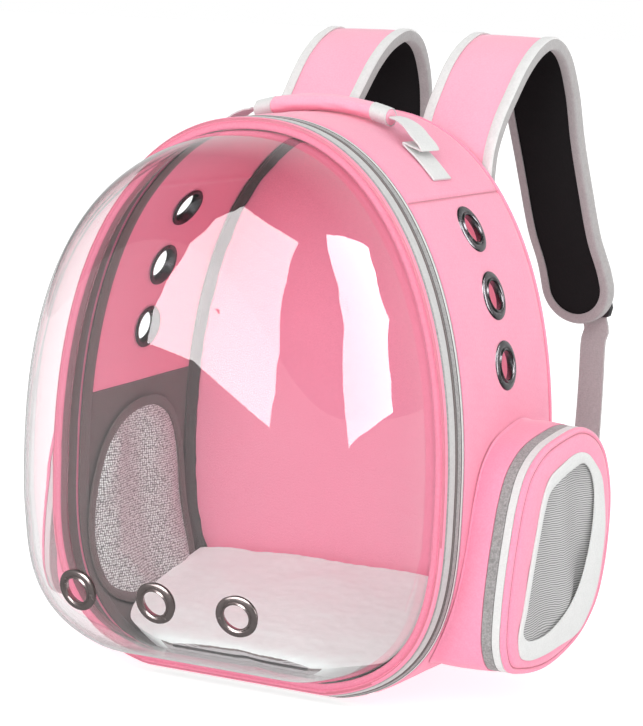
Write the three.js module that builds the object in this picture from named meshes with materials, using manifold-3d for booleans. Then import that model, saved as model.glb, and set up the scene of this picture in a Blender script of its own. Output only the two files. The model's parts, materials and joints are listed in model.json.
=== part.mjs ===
// Pet carrier backpack with a clear bubble door, two mesh side pockets and two shoulder straps.
// Millimetres. +X is the carrier's side seen at the right from the front, the front faces -Y, +Z is up.
// The origin is the middle of the flat underside.

import * as THREE from 'three';
import { mergeVertices } from 'three/addons/utils/BufferGeometryUtils.js';
import Module from 'manifold-3d';

const wasm = await Module();
wasm.setup();

// Fabric body
const bodyWidth = 316;
const bodyHeight = 403;
const bodyDepth = 180;
const widestHeight = 151;
const archPower = 2.2;
const cornerPower = 3;
const cornerSink = 5;
const backNarrowing = 4.5;
const backRise = 2.5;
const toeRise = 9;
const wallThickness = 3;
const seamGap = 0.3;
const crossSeamReach = 104;
const bottomSeamReach = 92;

// Door ring and its zip
const ringWidth = 8.6;
const ringBulge = 5.2;
const ringDepth = 4;
const tapeWidth = 12;
const teethWidth = 2.4;
const tapeThickness = 1.6;
const tapeInset = 0.6;

// Clear bubble
const domeDepth = 117;
const domeThickness = 2;
const domePower = 1.34;
const domeEdgePower = 6.2;
const domeSillPower = 11.4;
const domeSillHeight = 93;
const domeSillFade = 1.5;
const domeCentreHeight = 279;
const domeTuck = 5;

// Eyelets
const eyeletRadius = 16;
const eyeletHoleRadius = 10;
const eyeletTubeWall = 1.2;
const eyeletFlange = 1.2;
const eyeletCrown = 1.2;
const eyeletShares = [0.862, 0.571, 0.262];
const punchLength = 40;
const frontEyeletHeight = 83;
const frontEyeletSpacing = 62;
const wallSag = 2.8;
const domeSag = 4;

// Lining and mesh windows
const liningThickness = 1.2;
const liningTop = 191;
const liningRise = 7;
const bindingDepth = 13;
const bindingThickness = 1.2;
const meshThickness = 0.9;
const windowBindingWidth = 8;
const windowBindingThickness = 1.5;
const windowWidth = 137;
const windowHeight = 154;
const windowMiddle = 11;
const windowSill = 28;

// Plush mat
const matFrontThickness = 21;
const matBackThickness = 55;
const matCrown = 5;
const matSideClearance = 8;
const matBottomClearance = 4.8;

// Side pockets
const pocketLength = 150;
const pocketHeight = 167;
const pocketBackGap = 1;
const pocketSill = 28;
const pocketFrontDepth = 29;
const pocketBackDepth = 42;
const pocketWallThickness = 2;
const pocketTapeWidth = 6.6;
const pocketFaceThickness = 2.4;
const pocketFaceCrown = 5;
const pocketSeat = 0.6;
const pocketTapeInset = 0.4;
const pocketShoulder = 3;
const pocketMargin = 9;

// Carrying handle
const handleY = 8;
const handleLength = 108;
const handleWidth = 17;
const handleThickness = 10;
const handleDroop = 8;
const handleWebbingWidth = 28;
const handleWebbingThickness = 1.6;
const handleClearance = 0.5;

// Shoulder straps
const strapMiddle = 62;
const strapSpread = 33;
const strapReach = 184;
const strapApexHeight = 458;
const strapEndHeight = 237;
const strapWidth = 68;
const strapBaseWidth = 62;
const strapThickness = 6;
const strapLiningThickness = 2;
const strapTwist = 16;
const strapEndRound = 30;
const strapBindingWidth = 8;
const strapBindingThickness = 1.2;
const strapBindingClearance = 0.75;
const buckleWidth = 38;
const buckleLength = 26;
const buckleThickness = 5;
const buckleBar = 4.5;
const buckleShare = 0.6;
const buckleAside = 5;
const webbingWidth = 25;
const webbingThickness = 1.8;
const webbingSewnInset = 36;

// How finely curved pieces are divided
const outlineSteps = 36;
const eyeletSides = 12;
const pocketSteps = 18;
const strapSteps = 12;
const handleSides = 8;

const ringY = -bodyDepth / 2;
const backY = bodyDepth / 2;
const tapeRearStart = ringY + tapeWidth + teethWidth + seamGap * 2;
const wallFrontY = tapeRearStart + tapeWidth + seamGap;
const liningInset = wallThickness + seamGap;
const pocketMiddle = backY - pocketBackGap - pocketLength / 2;

const colours = {
  pink: [0xf58fb2, 0.8, 0],
  greyLight: [0xd9dbd9, 0.75, 0],
  greyMid: [0x9c9a9a, 0.8, 0],
  greyDark: [0x6b6163, 0.85, 0],
  black: [0x17161a, 0.85, 0],
  mesh: [0xb9bab8, 0.8, 0],
  plush: [0xf1e9e6, 0.95, 0],
  clear: [0xeef4f6, 0.05, 0],
  gunmetal: [0x6d6468, 0.25, 1],
};

const carrier = new THREE.Group();

function addPiece(name, geometry, finish) {
  const [color, roughness, metalness] = colours[finish];
  const material = new THREE.MeshStandardMaterial({ color, roughness, metalness });
  if (finish === 'clear') {
    material.transparent = true;
    material.opacity = 0.3;
  }
  const mesh = new THREE.Mesh(geometry, material);
  mesh.name = name;
  carrier.add(mesh);
  return mesh;
}

// Turns a list of corners and triangles into a closed geometry whose faces point out.
function closedGeometry(corners, triangles) {
  let volume = 0;
  const normal = new THREE.Vector3();
  for (const [a, b, c] of triangles) {
    volume += corners[a].dot(normal.crossVectors(corners[b], corners[c]));
  }
  const index = triangles.flatMap(([a, b, c]) => (volume < 0 ? [a, c, b] : [a, b, c]));
  const geometry = new THREE.BufferGeometry();
  geometry.setAttribute('position', new THREE.Float32BufferAttribute(corners.flatMap((v) => v.toArray()), 3));
  geometry.setIndex(index);
  return geometry;
}

// Triangles that fill one section, found in the plane that fits it best.
function capTriangles(section) {
  const normal = new THREE.Vector3();
  section.forEach((p, i) => {
    const q = section[(i + 1) % section.length];
    normal.x += (p.y - q.y) * (p.z + q.z);
    normal.y += (p.z - q.z) * (p.x + q.x);
    normal.z += (p.x - q.x) * (p.y + q.y);
  });
  normal.normalize();
  const across = new THREE.Vector3(normal.z, normal.x, normal.y).cross(normal).normalize();
  const up = new THREE.Vector3().crossVectors(normal, across);
  const flat = section.map((p) => new THREE.Vector2(p.dot(across), p.dot(up)));
  return THREE.ShapeUtils.triangulateShape(flat, []);
}

// A skin through sections of equal count, joined end to end or capped at both ends.
function loft(sections, joined = false) {
  const count = sections[0].length;
  const corners = sections.flat();
  const triangles = [];
  const last = joined ? sections.length : sections.length - 1;
  for (let i = 0; i < last; i++) {
    const here = i * count;
    const next = ((i + 1) % sections.length) * count;
    for (let j = 0; j < count; j++) {
      const k = (j + 1) % count;
      triangles.push([here + j, here + k, next + k], [here + j, next + k, next + j]);
    }
  }
  if (!joined) {
    const end = (sections.length - 1) * count;
    const caps = capTriangles(sections[0]);
    const endCaps = capTriangles(sections[sections.length - 1]);
    const first = orientedLike(sections, caps, true);
    const second = orientedLike(sections, endCaps, false);
    first.forEach(([a, b, c]) => triangles.push([a, b, c]));
    second.forEach(([a, b, c]) => triangles.push([end + a, end + b, end + c]));
  }
  return closedGeometry(corners, triangles);
}

// A cap's outer edge has to run against the skin's edge: [0, 1] at the first section, [1, 0] at the last.
function orientedLike(sections, caps, first) {
  const count = sections[0].length;
  const forward = caps.some(([a, b, c]) => [[a, b], [b, c], [c, a]].some(([p, q]) => (p + 1) % count === q));
  return forward === first ? caps.map(([a, b, c]) => [a, c, b]) : caps;
}

function toManifold(geometry) {
  const bare = geometry.clone();
  bare.deleteAttribute('normal');
  bare.deleteAttribute('uv');
  const merged = mergeVertices(bare, 1e-4);
  const vertProperties = new Float32Array(merged.attributes.position.array);
  const triVerts = new Uint32Array(merged.index.array);
  return new wasm.Manifold(new wasm.Mesh({ numProp: 3, vertProperties, triVerts }));
}

function fromManifold(solid) {
  const mesh = solid.getMesh();
  const geometry = new THREE.BufferGeometry();
  geometry.setAttribute('position', new THREE.Float32BufferAttribute(mesh.vertProperties, 3));
  geometry.setIndex(Array.from(mesh.triVerts));
  return geometry;
}

function cut(geometry, tools) {
  let solid = toManifold(geometry);
  for (const tool of tools) {
    solid = solid.subtract(toManifold(tool));
  }
  return fromManifold(solid);
}

function common(geometry, tool) {
  return fromManifold(toManifold(geometry).intersect(toManifold(tool)));
}

// The same piece on the other side of the carrier's middle plane.
function mirrored(geometry) {
  const copy = geometry.index ? geometry.clone() : mergeVertices(geometry);
  copy.scale(-1, 1, 1);
  const index = copy.index.array;
  for (let i = 0; i < index.length; i += 3) {
    const swap = index[i + 1];
    index[i + 1] = index[i + 2];
    index[i + 2] = swap;
  }
  return copy;
}

function addPair(name, geometry, finish) {
  addPiece(`${name}_right`, geometry, finish);
  addPiece(`${name}_left`, mirrored(geometry), finish);
}

// The body's outline, seen from the front: a flat base, round lower corners and a high arch.
// The base rises a little towards the door.
function outlineAtAngle(angle, y) {
  const back = (y - ringY) / bodyDepth;
  const halfWidth = bodyWidth / 2 - backNarrowing * back;
  const height = bodyHeight + backRise * back;
  const c = Math.abs(Math.cos(angle));
  const s = Math.sin(angle);
  const power = 2 / (s >= 0 ? archPower : cornerPower);
  const rise = s >= 0 ? height - widestHeight : widestHeight + cornerSink;
  const x = halfWidth * c ** power;
  const z = widestHeight + rise * Math.sign(s) * Math.abs(s) ** power;
  const forward = Math.max(0, wallFrontY - y) / (wallFrontY - (ringY - ringBulge));
  const low = Math.max(0, 1 - z / widestHeight);
  return new THREE.Vector2(x, Math.max(z, 0) + toeRise * forward * Math.min(low, 1) ** 2);
}

// The angle that goes with each share of the way round, counted from the middle of the base.
const angleTable = (() => {
  const steps = 600;
  const rows = [{ way: 0, angle: -Math.PI / 2 }];
  let before = outlineAtAngle(-Math.PI / 2, 0);
  for (let i = 1; i <= steps; i++) {
    const angle = -Math.PI / 2 + (Math.PI * i) / steps;
    const point = outlineAtAngle(angle, 0);
    rows.push({ way: rows[i - 1].way + point.distanceTo(before), angle });
    before = point;
  }
  return rows;
})();
const halfWay = angleTable[angleTable.length - 1].way;

function outlinePoint(share, y) {
  const turn = ((share % 1) + 1) % 1;
  const side = turn <= 0.5 ? 1 : -1;
  const way = (side > 0 ? turn : 1 - turn) * 2 * halfWay;
  let i = 1;
  while (i < angleTable.length - 1 && angleTable[i].way < way) i++;
  const from = angleTable[i - 1];
  const to = angleTable[i];
  const part = (way - from.way) / (to.way - from.way);
  const point = outlineAtAngle(from.angle + (to.angle - from.angle) * part, y);
  return new THREE.Vector2(side * point.x, point.y);
}

function outlineNormal(share, y) {
  const step = 0.003;
  const along = outlinePoint(share + step, y).sub(outlinePoint(share - step, y)).normalize();
  return new THREE.Vector2(along.y, -along.x);
}

// A corner of the faceted body, moved in from the surface by inset.
function bodyCorner(step, y, inset) {
  const point = outlinePoint(step / outlineSteps, y);
  const normal = outlineNormal(step / outlineSteps, y);
  return new THREE.Vector3(point.x - normal.x * inset, y, point.y - normal.y * inset);
}

// A place on the faceted body at a share of the way round, moved in from the surface by inset.
function bodyPoint(share, y, inset) {
  const step = Math.floor(share * outlineSteps + 1e-9);
  const part = share * outlineSteps - step;
  if (part < 1e-6) return bodyCorner(step, y, inset);
  return bodyCorner(step, y, inset).lerp(bodyCorner(step + 1, y, inset), part);
}

function facetNormal(share, y) {
  const step = Math.floor(share * outlineSteps + 1e-9);
  const along = bodyCorner(step + 1, y, 0).sub(bodyCorner(step, y, 0));
  const back = bodyPoint(share, y + eyeletRadius, 0).sub(bodyPoint(share, y - eyeletRadius, 0));
  return new THREE.Vector3().crossVectors(back, along).normalize();
}

// The share of the way round where the right half first meets a condition.
function shareWhere(meets) {
  let share = 0;
  while (share < 0.5 && !meets(outlinePoint(share, 0))) share += 0.0005;
  return share;
}

const gapShare = seamGap / (2 * halfWay);
const crossSeam = shareWhere((p) => p.y > widestHeight && p.x < crossSeamReach);
const bottomSeam = shareWhere((p) => p.x > bottomSeamReach);

// A band whose section, a list of [y, inset], follows the body's outline.
function bandThrough(section, shares, joined) {
  return loft(shares.map((share) => section.map(([y, inset]) => bodyPoint(share, y, inset))), joined);
}

function bodyBand(section, from, to) {
  const shares = [from];
  const margin = 0.01;
  for (let step = Math.ceil(from * outlineSteps + margin); step < to * outlineSteps - margin; step++) {
    shares.push(step / outlineSteps);
  }
  shares.push(to);
  return bandThrough(section, shares, false);
}

function bodyLoop(section) {
  return bandThrough(section, Array.from({ length: outlineSteps }, (_, i) => i / outlineSteps), true);
}

function flatBand(yFrom, yTo, insetFrom, insetTo) {
  return [[yFrom, insetFrom], [yTo, insetFrom], [yTo, insetTo], [yFrom, insetTo]];
}

// A smooth closed line through rows of shares of a width and a height, in the carrier's side view.
function sideOutline(rows, width, height, middle, sill, steps) {
  const knots = rows.map(([along, up]) => new THREE.Vector3(middle + along * width, sill + up * height, 0));
  const curve = new THREE.CatmullRomCurve3(knots, true, 'centripetal');
  const points = [];
  for (let i = 0; i < steps; i++) {
    const p = curve.getPoint(i / steps);
    points.push(new THREE.Vector2(p.x, p.y));
  }
  return points;
}

function insetOutline(points, inset) {
  const turn = THREE.ShapeUtils.area(points) > 0 ? 1 : -1;
  return points.map((p, i) => {
    const before = points[(i + points.length - 1) % points.length];
    const after = points[(i + 1) % points.length];
    const along = after.clone().sub(before).normalize();
    return new THREE.Vector2(p.x - along.y * inset * turn, p.y + along.x * inset * turn);
  });
}

// A straight prism along X over an outline in the side view.
function sidePrism(points, xFrom, xTo) {
  const near = points.map((p) => new THREE.Vector3(xFrom, p.x, p.y));
  const far = points.map((p) => new THREE.Vector3(xTo, p.x, p.y));
  return loft([near, far]);
}

// Mesh window in the side wall, seen from the side: share of width from its middle, share of height.
const windowRows = [
  // along, up
  [0.14, 1.0],
  [-0.14, 0.955],
  [-0.32, 0.82],
  [-0.42, 0.64],
  [-0.475, 0.46],
  [-0.5, 0.27],
  [-0.46, 0.09],
  [-0.28, 0.01],
  [0.06, 0.0],
  [0.37, 0.03],
  [0.485, 0.18],
  [0.495, 0.45],
  [0.46, 0.72],
  [0.34, 0.92],
];
const windowOuter = sideOutline(windowRows, windowWidth, windowHeight, windowMiddle, windowSill, pocketSteps);
const windowOpening = insetOutline(windowOuter, windowBindingWidth);

function eyeletGeometry(sheet) {
  const tube = eyeletHoleRadius + eyeletTubeWall;
  const under = -(sheet + eyeletFlange);
  const rim = (eyeletRadius + tube) / 2;
  const profile = [
    [eyeletHoleRadius, under],
    [eyeletRadius, -sheet],
    [tube, -sheet],
    [tube, 0],
    [eyeletRadius, 0],
    [rim, eyeletFlange + eyeletCrown],
    [eyeletHoleRadius, eyeletFlange * 0.6],
    [eyeletHoleRadius, under],
  ].map(([r, h]) => new THREE.Vector2(r, h));
  const geometry = new THREE.LatheGeometry(profile, eyeletSides);
  geometry.deleteAttribute('normal');
  geometry.deleteAttribute('uv');
  return mergeVertices(geometry, 1e-4);
}

function punch(place, outward, radius, length) {
  const geometry = new THREE.CylinderGeometry(radius, radius, length, eyeletSides);
  geometry.applyQuaternion(new THREE.Quaternion().setFromUnitVectors(new THREE.Vector3(0, 1, 0), outward));
  geometry.translate(place.x, place.y, place.z);
  return geometry;
}

function placeEyelet(name, place, outward, sheet) {
  const mesh = addPiece(name, eyeletGeometry(sheet), 'gunmetal');
  mesh.position.copy(place);
  mesh.quaternion.setFromUnitVectors(new THREE.Vector3(0, 1, 0), outward);
}

const punchRadius = eyeletHoleRadius + eyeletTubeWall + seamGap;
const eyeletY = (wallFrontY + backY) / 2;

// The side eyelets share out the wall between the pocket's top and the cross seam.
function sideEyeletSeat(part) {
  const pocketTop = pocketSill + pocketHeight;
  const height = pocketTop + (outlinePoint(crossSeam, 0).y - pocketTop) * part;
  const share = shareWhere((p) => p.y > height);
  const outward = facetNormal(share, eyeletY);
  return { place: bodyPoint(share, eyeletY, 0).addScaledVector(outward, seamGap), outward };
}

function buildBody() {
  const wall = flatBand(wallFrontY, backY, 0, wallThickness);
  const side = bodyBand(wall, bottomSeam + gapShare, crossSeam - gapShare);
  const seats = eyeletShares.map(sideEyeletSeat);
  const tools = seats.map(({ place, outward }) => punch(place, outward, punchRadius, punchLength));
  tools.push(sidePrism(windowOpening, bodyWidth / 4, bodyWidth));
  addPair('side_wall', cut(side, tools), 'pink');
  addPiece('top_panel', bodyBand(wall, crossSeam, 1 - crossSeam), 'pink');
  addPiece('bottom_panel', bodyBand(wall, -bottomSeam, bottomSeam), 'pink');

  const panelY = backY + seamGap;
  const rim = (y) => {
    const points = [];
    for (let i = 0; i < outlineSteps; i++) points.push(bodyPoint(i / outlineSteps, backY, 0).setY(y));
    return points;
  };
  addPiece('back_panel', loft([rim(panelY), rim(panelY + wallThickness)]), 'pink');

  seats.forEach(({ place, outward }, i) => {
    const left = new THREE.Vector3(-place.x, place.y, place.z);
    const leftward = new THREE.Vector3(-outward.x, outward.y, outward.z);
    placeEyelet(`side_eyelet_right_${i + 1}`, place, outward, wallThickness + wallSag);
    placeEyelet(`side_eyelet_left_${i + 1}`, left, leftward, wallThickness + wallSag);
  });
}

function buildDoorRing() {
  const band = [
    [ringY - seamGap, tapeInset],
    [ringY - ringBulge * 0.75, ringWidth * 0.3],
    [ringY - ringBulge, ringWidth],
    [ringY + ringDepth, ringWidth],
    [ringY - seamGap, tapeInset + tapeThickness + seamGap],
  ];
  addPiece('front_ring', bodyLoop(band), 'pink');
  const tapeTo = tapeInset + tapeThickness;
  const frontTape = flatBand(ringY, ringY + tapeWidth, tapeInset, tapeTo);
  const teeth = flatBand(ringY + tapeWidth + seamGap, tapeRearStart - seamGap, seamGap, tapeTo);
  const rearTape = flatBand(tapeRearStart, tapeRearStart + tapeWidth, tapeInset, tapeTo);
  addPiece('zip_tape_front', bodyLoop(frontTape), 'greyLight');
  addPiece('zip_teeth', bodyLoop(teeth), 'greyMid');
  addPiece('zip_tape_rear', bodyLoop(rearTape), 'greyMid');
}

// The bubble's section at a share of its depth is the ring's opening, drawn in towards its centre.
// Its lower part stays fuller.
function domePoint(share, depthShare, inset) {
  const y = ringY - (domeDepth - inset) * depthShare;
  const edge = bodyPoint(share, ringY - ringBulge, ringWidth + seamGap + inset);
  const low = THREE.MathUtils.clamp(1 - edge.z / domeSillHeight, 0, 1) ** domeSillFade;
  const power = domeEdgePower + (domeSillPower - domeEdgePower) * low;
  const shrink = (1 - depthShare ** domePower) ** (1 / power);
  return new THREE.Vector3(edge.x * shrink, y, domeCentreHeight + (edge.z - domeCentreHeight) * shrink);
}

const domeLevels = [0, 0.32, 0.6, 0.8, 0.91, 0.972, 0.998];

function domeSkin(inset) {
  const rings = [];
  const tuck = [];
  for (let i = 0; i < outlineSteps; i++) {
    const rim = bodyPoint(i / outlineSteps, ringY - ringBulge, ringWidth + seamGap + inset);
    tuck.push(new THREE.Vector3(rim.x, ringY + domeTuck, rim.z));
  }
  rings.push(tuck);
  for (const level of domeLevels) {
    const ring = [];
    for (let i = 0; i < outlineSteps; i++) ring.push(domePoint(i / outlineSteps, level, inset));
    rings.push(ring);
  }
  return rings;
}

function buildDome() {
  const outer = domeSkin(0);
  const inner = domeSkin(domeThickness);
  const rings = [...inner].reverse().concat(outer);
  const corners = rings.flat();
  const innerTip = new THREE.Vector3(0, ringY - domeDepth + domeThickness, domeCentreHeight);
  const outerTip = new THREE.Vector3(0, ringY - domeDepth, domeCentreHeight);
  corners.push(innerTip, outerTip);
  const triangles = [];
  for (let r = 0; r < rings.length - 1; r++) {
    for (let j = 0; j < outlineSteps; j++) {
      const k = (j + 1) % outlineSteps;
      const a = r * outlineSteps;
      const b = (r + 1) * outlineSteps;
      triangles.push([a + j, a + k, b + k], [a + j, b + k, b + j]);
    }
  }
  const tip = rings.length * outlineSteps;
  const end = (rings.length - 1) * outlineSteps;
  for (let j = 0; j < outlineSteps; j++) {
    const k = (j + 1) % outlineSteps;
    triangles.push([tip, k, j], [tip + 1, end + j, end + k]);
  }
  const shell = closedGeometry(corners, triangles);
  const seats = [-1, 0, 1].map((side) => domeSeat(shell, side * frontEyeletSpacing, frontEyeletHeight));
  const tools = seats.map(({ place, outward }) => punch(place, outward, punchRadius, punchLength / 2));
  addPiece('dome', cut(shell, tools), 'clear');
  seats.forEach(({ place, outward }, i) => {
    placeEyelet(`front_eyelet_${i + 1}`, place, outward, domeThickness + domeSag);
  });
}

// Where a line along Y at a given x and height meets the bubble's outside, and the way it faces there.
function domeSeat(shell, x, height) {
  const probe = new THREE.Mesh(shell, new THREE.MeshBasicMaterial({ side: THREE.DoubleSide }));
  const surface = (px, pz) => {
    const start = new THREE.Vector3(px, ringY - 2 * domeDepth, pz);
    return new THREE.Raycaster(start, new THREE.Vector3(0, 1, 0)).intersectObject(probe)[0].point;
  };
  const step = 8;
  const alongX = surface(x + step, height).sub(surface(x - step, height));
  const alongZ = surface(x, height + step).sub(surface(x, height - step));
  const outward = new THREE.Vector3().crossVectors(alongX, alongZ).normalize();
  return { place: surface(x, height).addScaledVector(outward, seamGap), outward };
}

function buildLining() {
  const bindingTo = liningInset + bindingThickness;
  const frontBinding = flatBand(wallFrontY, wallFrontY + bindingDepth, liningInset, bindingTo);
  addPiece('inner_front_binding', bodyLoop(frontBinding), 'greyMid');
  const backBinding = flatBand(backY - bindingDepth * 0.6, backY - seamGap, liningInset, bindingTo);
  addPiece('inner_back_binding', bodyLoop(backBinding), 'greyDark');

  const panelFrom = wallFrontY + bindingDepth + seamGap;
  const panelTo = backY - bindingDepth * 0.6 - seamGap;
  const sideTo = shareWhere((p) => p.y > liningTop + 2.5 * liningRise);
  const panel = bodyBand(flatBand(panelFrom, panelTo, liningInset, liningInset + liningThickness),
    bottomSeam, sideTo);
  const slope = liningRise / (panelTo - panelFrom);
  const reach = bindingDepth * 1.5;
  const edge = [
    new THREE.Vector2(panelFrom - reach, -reach),
    new THREE.Vector2(panelTo + reach, -reach),
    new THREE.Vector2(panelTo + reach, liningTop + liningRise + slope * reach),
    new THREE.Vector2(panelFrom - reach, liningTop - slope * reach),
  ];
  const trimmed = common(panel, sidePrism(edge, bodyWidth / 8, bodyWidth));
  addPair('inner_panel', cut(trimmed, [sidePrism(windowOpening, bodyWidth / 8, bodyWidth)]), 'greyDark');

  const meshInset = liningInset + liningThickness + seamGap;
  const windowFrom = shareWhere((p) => p.y > windowSill - 1.5 * windowBindingWidth);
  const windowTo = shareWhere((p) => p.y > windowSill + windowHeight + windowBindingWidth);
  const layer = (from, to) => bodyBand(flatBand(panelFrom - bindingDepth, panelTo, from, to), windowFrom, windowTo);
  const meshOutline = insetOutline(windowOuter, windowBindingWidth * 0.35);
  const mesh = common(layer(meshInset, meshInset + meshThickness), sidePrism(meshOutline, bodyWidth / 8, bodyWidth));
  addPair('inner_mesh', mesh, 'mesh');
  const bindingInset = meshInset + meshThickness + seamGap;
  const rimLayer = layer(bindingInset, bindingInset + windowBindingThickness);
  const rim = common(rimLayer, sidePrism(windowOuter, bodyWidth / 8, bodyWidth));
  const rimOpen = cut(rim, [sidePrism(windowOpening, bodyWidth / 8, bodyWidth)]);
  addPair('inner_mesh_binding', rimOpen, 'greyDark');
}

function buildMat() {
  const from = ringY + domeTuck + seamGap;
  const to = backY - 2 * seamGap;
  const rows = [
    // share of depth, share of thickness
    [0, 0.82],
    [0.015, 0.93],
    [0.06, 1],
    [0.35, 1],
    [0.7, 1],
    [0.96, 1],
    [1, 0.85],
  ];
  const clearance = matSideClearance - matBottomClearance;
  const sections = rows.map(([depth, thick]) => {
    const y = from + (to - from) * depth;
    const top = matBottomClearance + (matFrontThickness + (matBackThickness - matFrontThickness) * depth) * thick;
    const sideShare = shareWhere((p) => p.y > top - matCrown);
    const right = [];
    for (let i = 0; i <= 6; i++) {
      const share = (sideShare * i) / 6;
      const down = Math.abs(outlineNormal(share, y).y);
      right.push(bodyPoint(share, y, matSideClearance - clearance * down ** 12));
    }
    const edge = right[right.length - 1];
    const crown = [0.8, 0.4, 0].map((part) => new THREE.Vector3(edge.x * part, y, top + matCrown * (1 - part ** 2)));
    const half = [...right, ...crown];
    const left = half.slice(1, -1).reverse().map((p) => new THREE.Vector3(-p.x, p.y, p.z));
    return [...half, ...left];
  });
  addPiece('plush_mat', loft(sections), 'plush');
}

// Pocket seen from the side: its own edge, its window's binding and the mesh in it.
const pocketRows = [
  // edge along, edge up, binding along, binding up, mesh along, mesh up
  [0.16, 1.0, 0.087, 0.898, 0.08, 0.84],
  [-0.04, 0.98, -0.06, 0.862, -0.07, 0.8],
  [-0.213, 0.934, -0.167, 0.82, -0.165, 0.755],
  [-0.333, 0.85, -0.227, 0.737, -0.207, 0.68],
  [-0.4, 0.73, -0.267, 0.61, -0.247, 0.56],
  [-0.44, 0.593, -0.31, 0.47, -0.285, 0.43],
  [-0.475, 0.43, -0.353, 0.3, -0.325, 0.28],
  [-0.493, 0.281, -0.387, 0.18, -0.35, 0.2],
  [-0.487, 0.144, -0.36, 0.1, -0.315, 0.163],
  [-0.427, 0.048, -0.28, 0.072, -0.25, 0.15],
  [-0.293, 0.012, -0.14, 0.07, -0.13, 0.155],
  [-0.093, 0.0, -0.01, 0.084, -0.02, 0.185],
  [0.107, 0.036, 0.2, 0.12, 0.1, 0.245],
  [0.273, 0.102, 0.3, 0.198, 0.19, 0.33],
  [0.407, 0.216, 0.367, 0.3, 0.245, 0.43],
  [0.473, 0.359, 0.4, 0.42, 0.28, 0.54],
  [0.5, 0.521, 0.413, 0.54, 0.29, 0.64],
  [0.5, 0.659, 0.39, 0.66, 0.28, 0.72],
  [0.467, 0.778, 0.347, 0.77, 0.245, 0.79],
  [0.407, 0.88, 0.267, 0.84, 0.19, 0.835],
  [0.307, 0.958, 0.19, 0.885, 0.14, 0.85],
];
const pocketOutline = (column) => sideOutline(pocketRows.map((row) => [row[column], row[column + 1]]),
  pocketLength, pocketHeight, pocketMiddle, pocketSill, pocketSteps);
const pocketEdge = pocketOutline(0);
const pocketBinding = pocketOutline(2);
const pocketMesh = pocketOutline(4);

function pocketReach(y) {
  const share = (y - (pocketMiddle - pocketLength / 2)) / pocketLength;
  return bodyWidth / 2 + pocketFrontDepth + (pocketBackDepth - pocketFrontDepth) * share;
}

// The body's half width at a height and depth.
function bodyReach(y, z) {
  let share = 0;
  while (share < 0.5 && outlinePoint(share, y).y < z) share += 0.0005;
  return outlinePoint(share, y).x;
}

function pocketBand(section) {
  const sections = pocketEdge.map((_, i) => section.map((corner) => corner(i)));
  return loft(sections, true);
}

function buildPockets() {
  const at = (line, x) => (i) => new THREE.Vector3(x(line[i]), line[i].x, line[i].y);
  const inner = insetOutline(pocketEdge, pocketWallThickness);
  const tapeLine = insetOutline(pocketEdge, pocketTapeInset);
  const tapeInner = insetOutline(pocketEdge, pocketTapeInset + tapeThickness);
  const lerpLine = (a, b, t) => a.map((p, i) => p.clone().lerp(b[i], t));
  const reach = (offset) => (p) => pocketReach(p.x) + offset;
  const seat = (p) => bodyReach(p.x, p.y) + pocketSeat;

  const tapeRearFrom = -2 * pocketTapeWidth - seamGap;
  const tapeFrontFrom = -pocketTapeWidth;
  const wallTo = tapeRearFrom - seamGap;
  const wall = [at(pocketEdge, seat), at(pocketEdge, reach(wallTo)), at(inner, reach(wallTo)), at(inner, seat)];
  addPair('pocket_wall', pocketBand(wall), 'pink');
  const band = (from, to) => [at(tapeLine, reach(from)), at(tapeLine, reach(to)), at(tapeInner, reach(to)),
    at(tapeInner, reach(from))];
  addPair('pocket_tape_rear', pocketBand(band(tapeRearFrom, tapeFrontFrom - seamGap)), 'greyMid');
  addPair('pocket_tape_front', pocketBand(band(tapeFrontFrom, 0)), 'greyLight');

  const lip = lerpLine(pocketBinding, pocketMesh, 0.4);
  const shoulder = insetOutline(pocketEdge, pocketShoulder);
  const shoulderInner = insetOutline(pocketEdge, pocketShoulder + pocketWallThickness);
  const margin = insetOutline(pocketEdge, pocketMargin);
  const face = [
    at(tapeLine, reach(seamGap)),
    at(shoulder, reach(pocketFaceCrown * 0.7)),
    at(margin, reach(pocketFaceCrown)),
    at(lip, reach(pocketFaceCrown)),
    at(lip, reach(pocketFaceCrown - pocketFaceThickness)),
    at(margin, reach(pocketFaceCrown - pocketFaceThickness)),
    at(shoulderInner, reach(seamGap)),
  ];
  addPair('pocket_face', pocketBand(face), 'pink');

  const rimFrom = pocketFaceCrown + seamGap;
  const rimTo = rimFrom + windowBindingThickness;
  const rim = [at(pocketBinding, reach(rimFrom)), at(pocketBinding, reach(rimTo)), at(pocketMesh, reach(rimTo)),
    at(pocketMesh, reach(rimFrom))];
  addPair('pocket_window_binding', pocketBand(rim), 'greyLight');

  const sheet = lerpLine(pocketBinding, pocketMesh, 0.55);
  const layer = (offset) => sheet.map((p) => new THREE.Vector3(pocketReach(p.x) + offset, p.x, p.y));
  addPair('pocket_mesh', loft([layer(pocketFaceCrown - meshThickness), layer(pocketFaceCrown)]), 'mesh');
}

// A ribbon that follows a curve, with its width turned by the twist from as near the X axis as it can be.
function ribbonFrame(curve, share, twist) {
  const centre = curve.getPointAt(share);
  const along = curve.getTangentAt(share);
  const across = new THREE.Vector3(1, 0, 0).addScaledVector(along, -along.x).normalize();
  across.applyAxisAngle(along, THREE.MathUtils.degToRad(twist(share)));
  const out = new THREE.Vector3().crossVectors(across, along).normalize();
  return { centre, along, across, out };
}

function ribbonPoint(curve, length, twist, way, side, lift) {
  const share = THREE.MathUtils.clamp(way / length, 0, 1);
  const { centre, along, across, out } = ribbonFrame(curve, share, twist);
  const beyond = way - share * length;
  return centre.addScaledVector(along, beyond).addScaledVector(across, side).addScaledVector(out, lift);
}

function topHeight(x, y) {
  let share = 0.5;
  while (share > 0 && outlinePoint(share, y).x < Math.abs(x)) share -= 0.0005;
  return outlinePoint(share, y).y;
}

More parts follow.
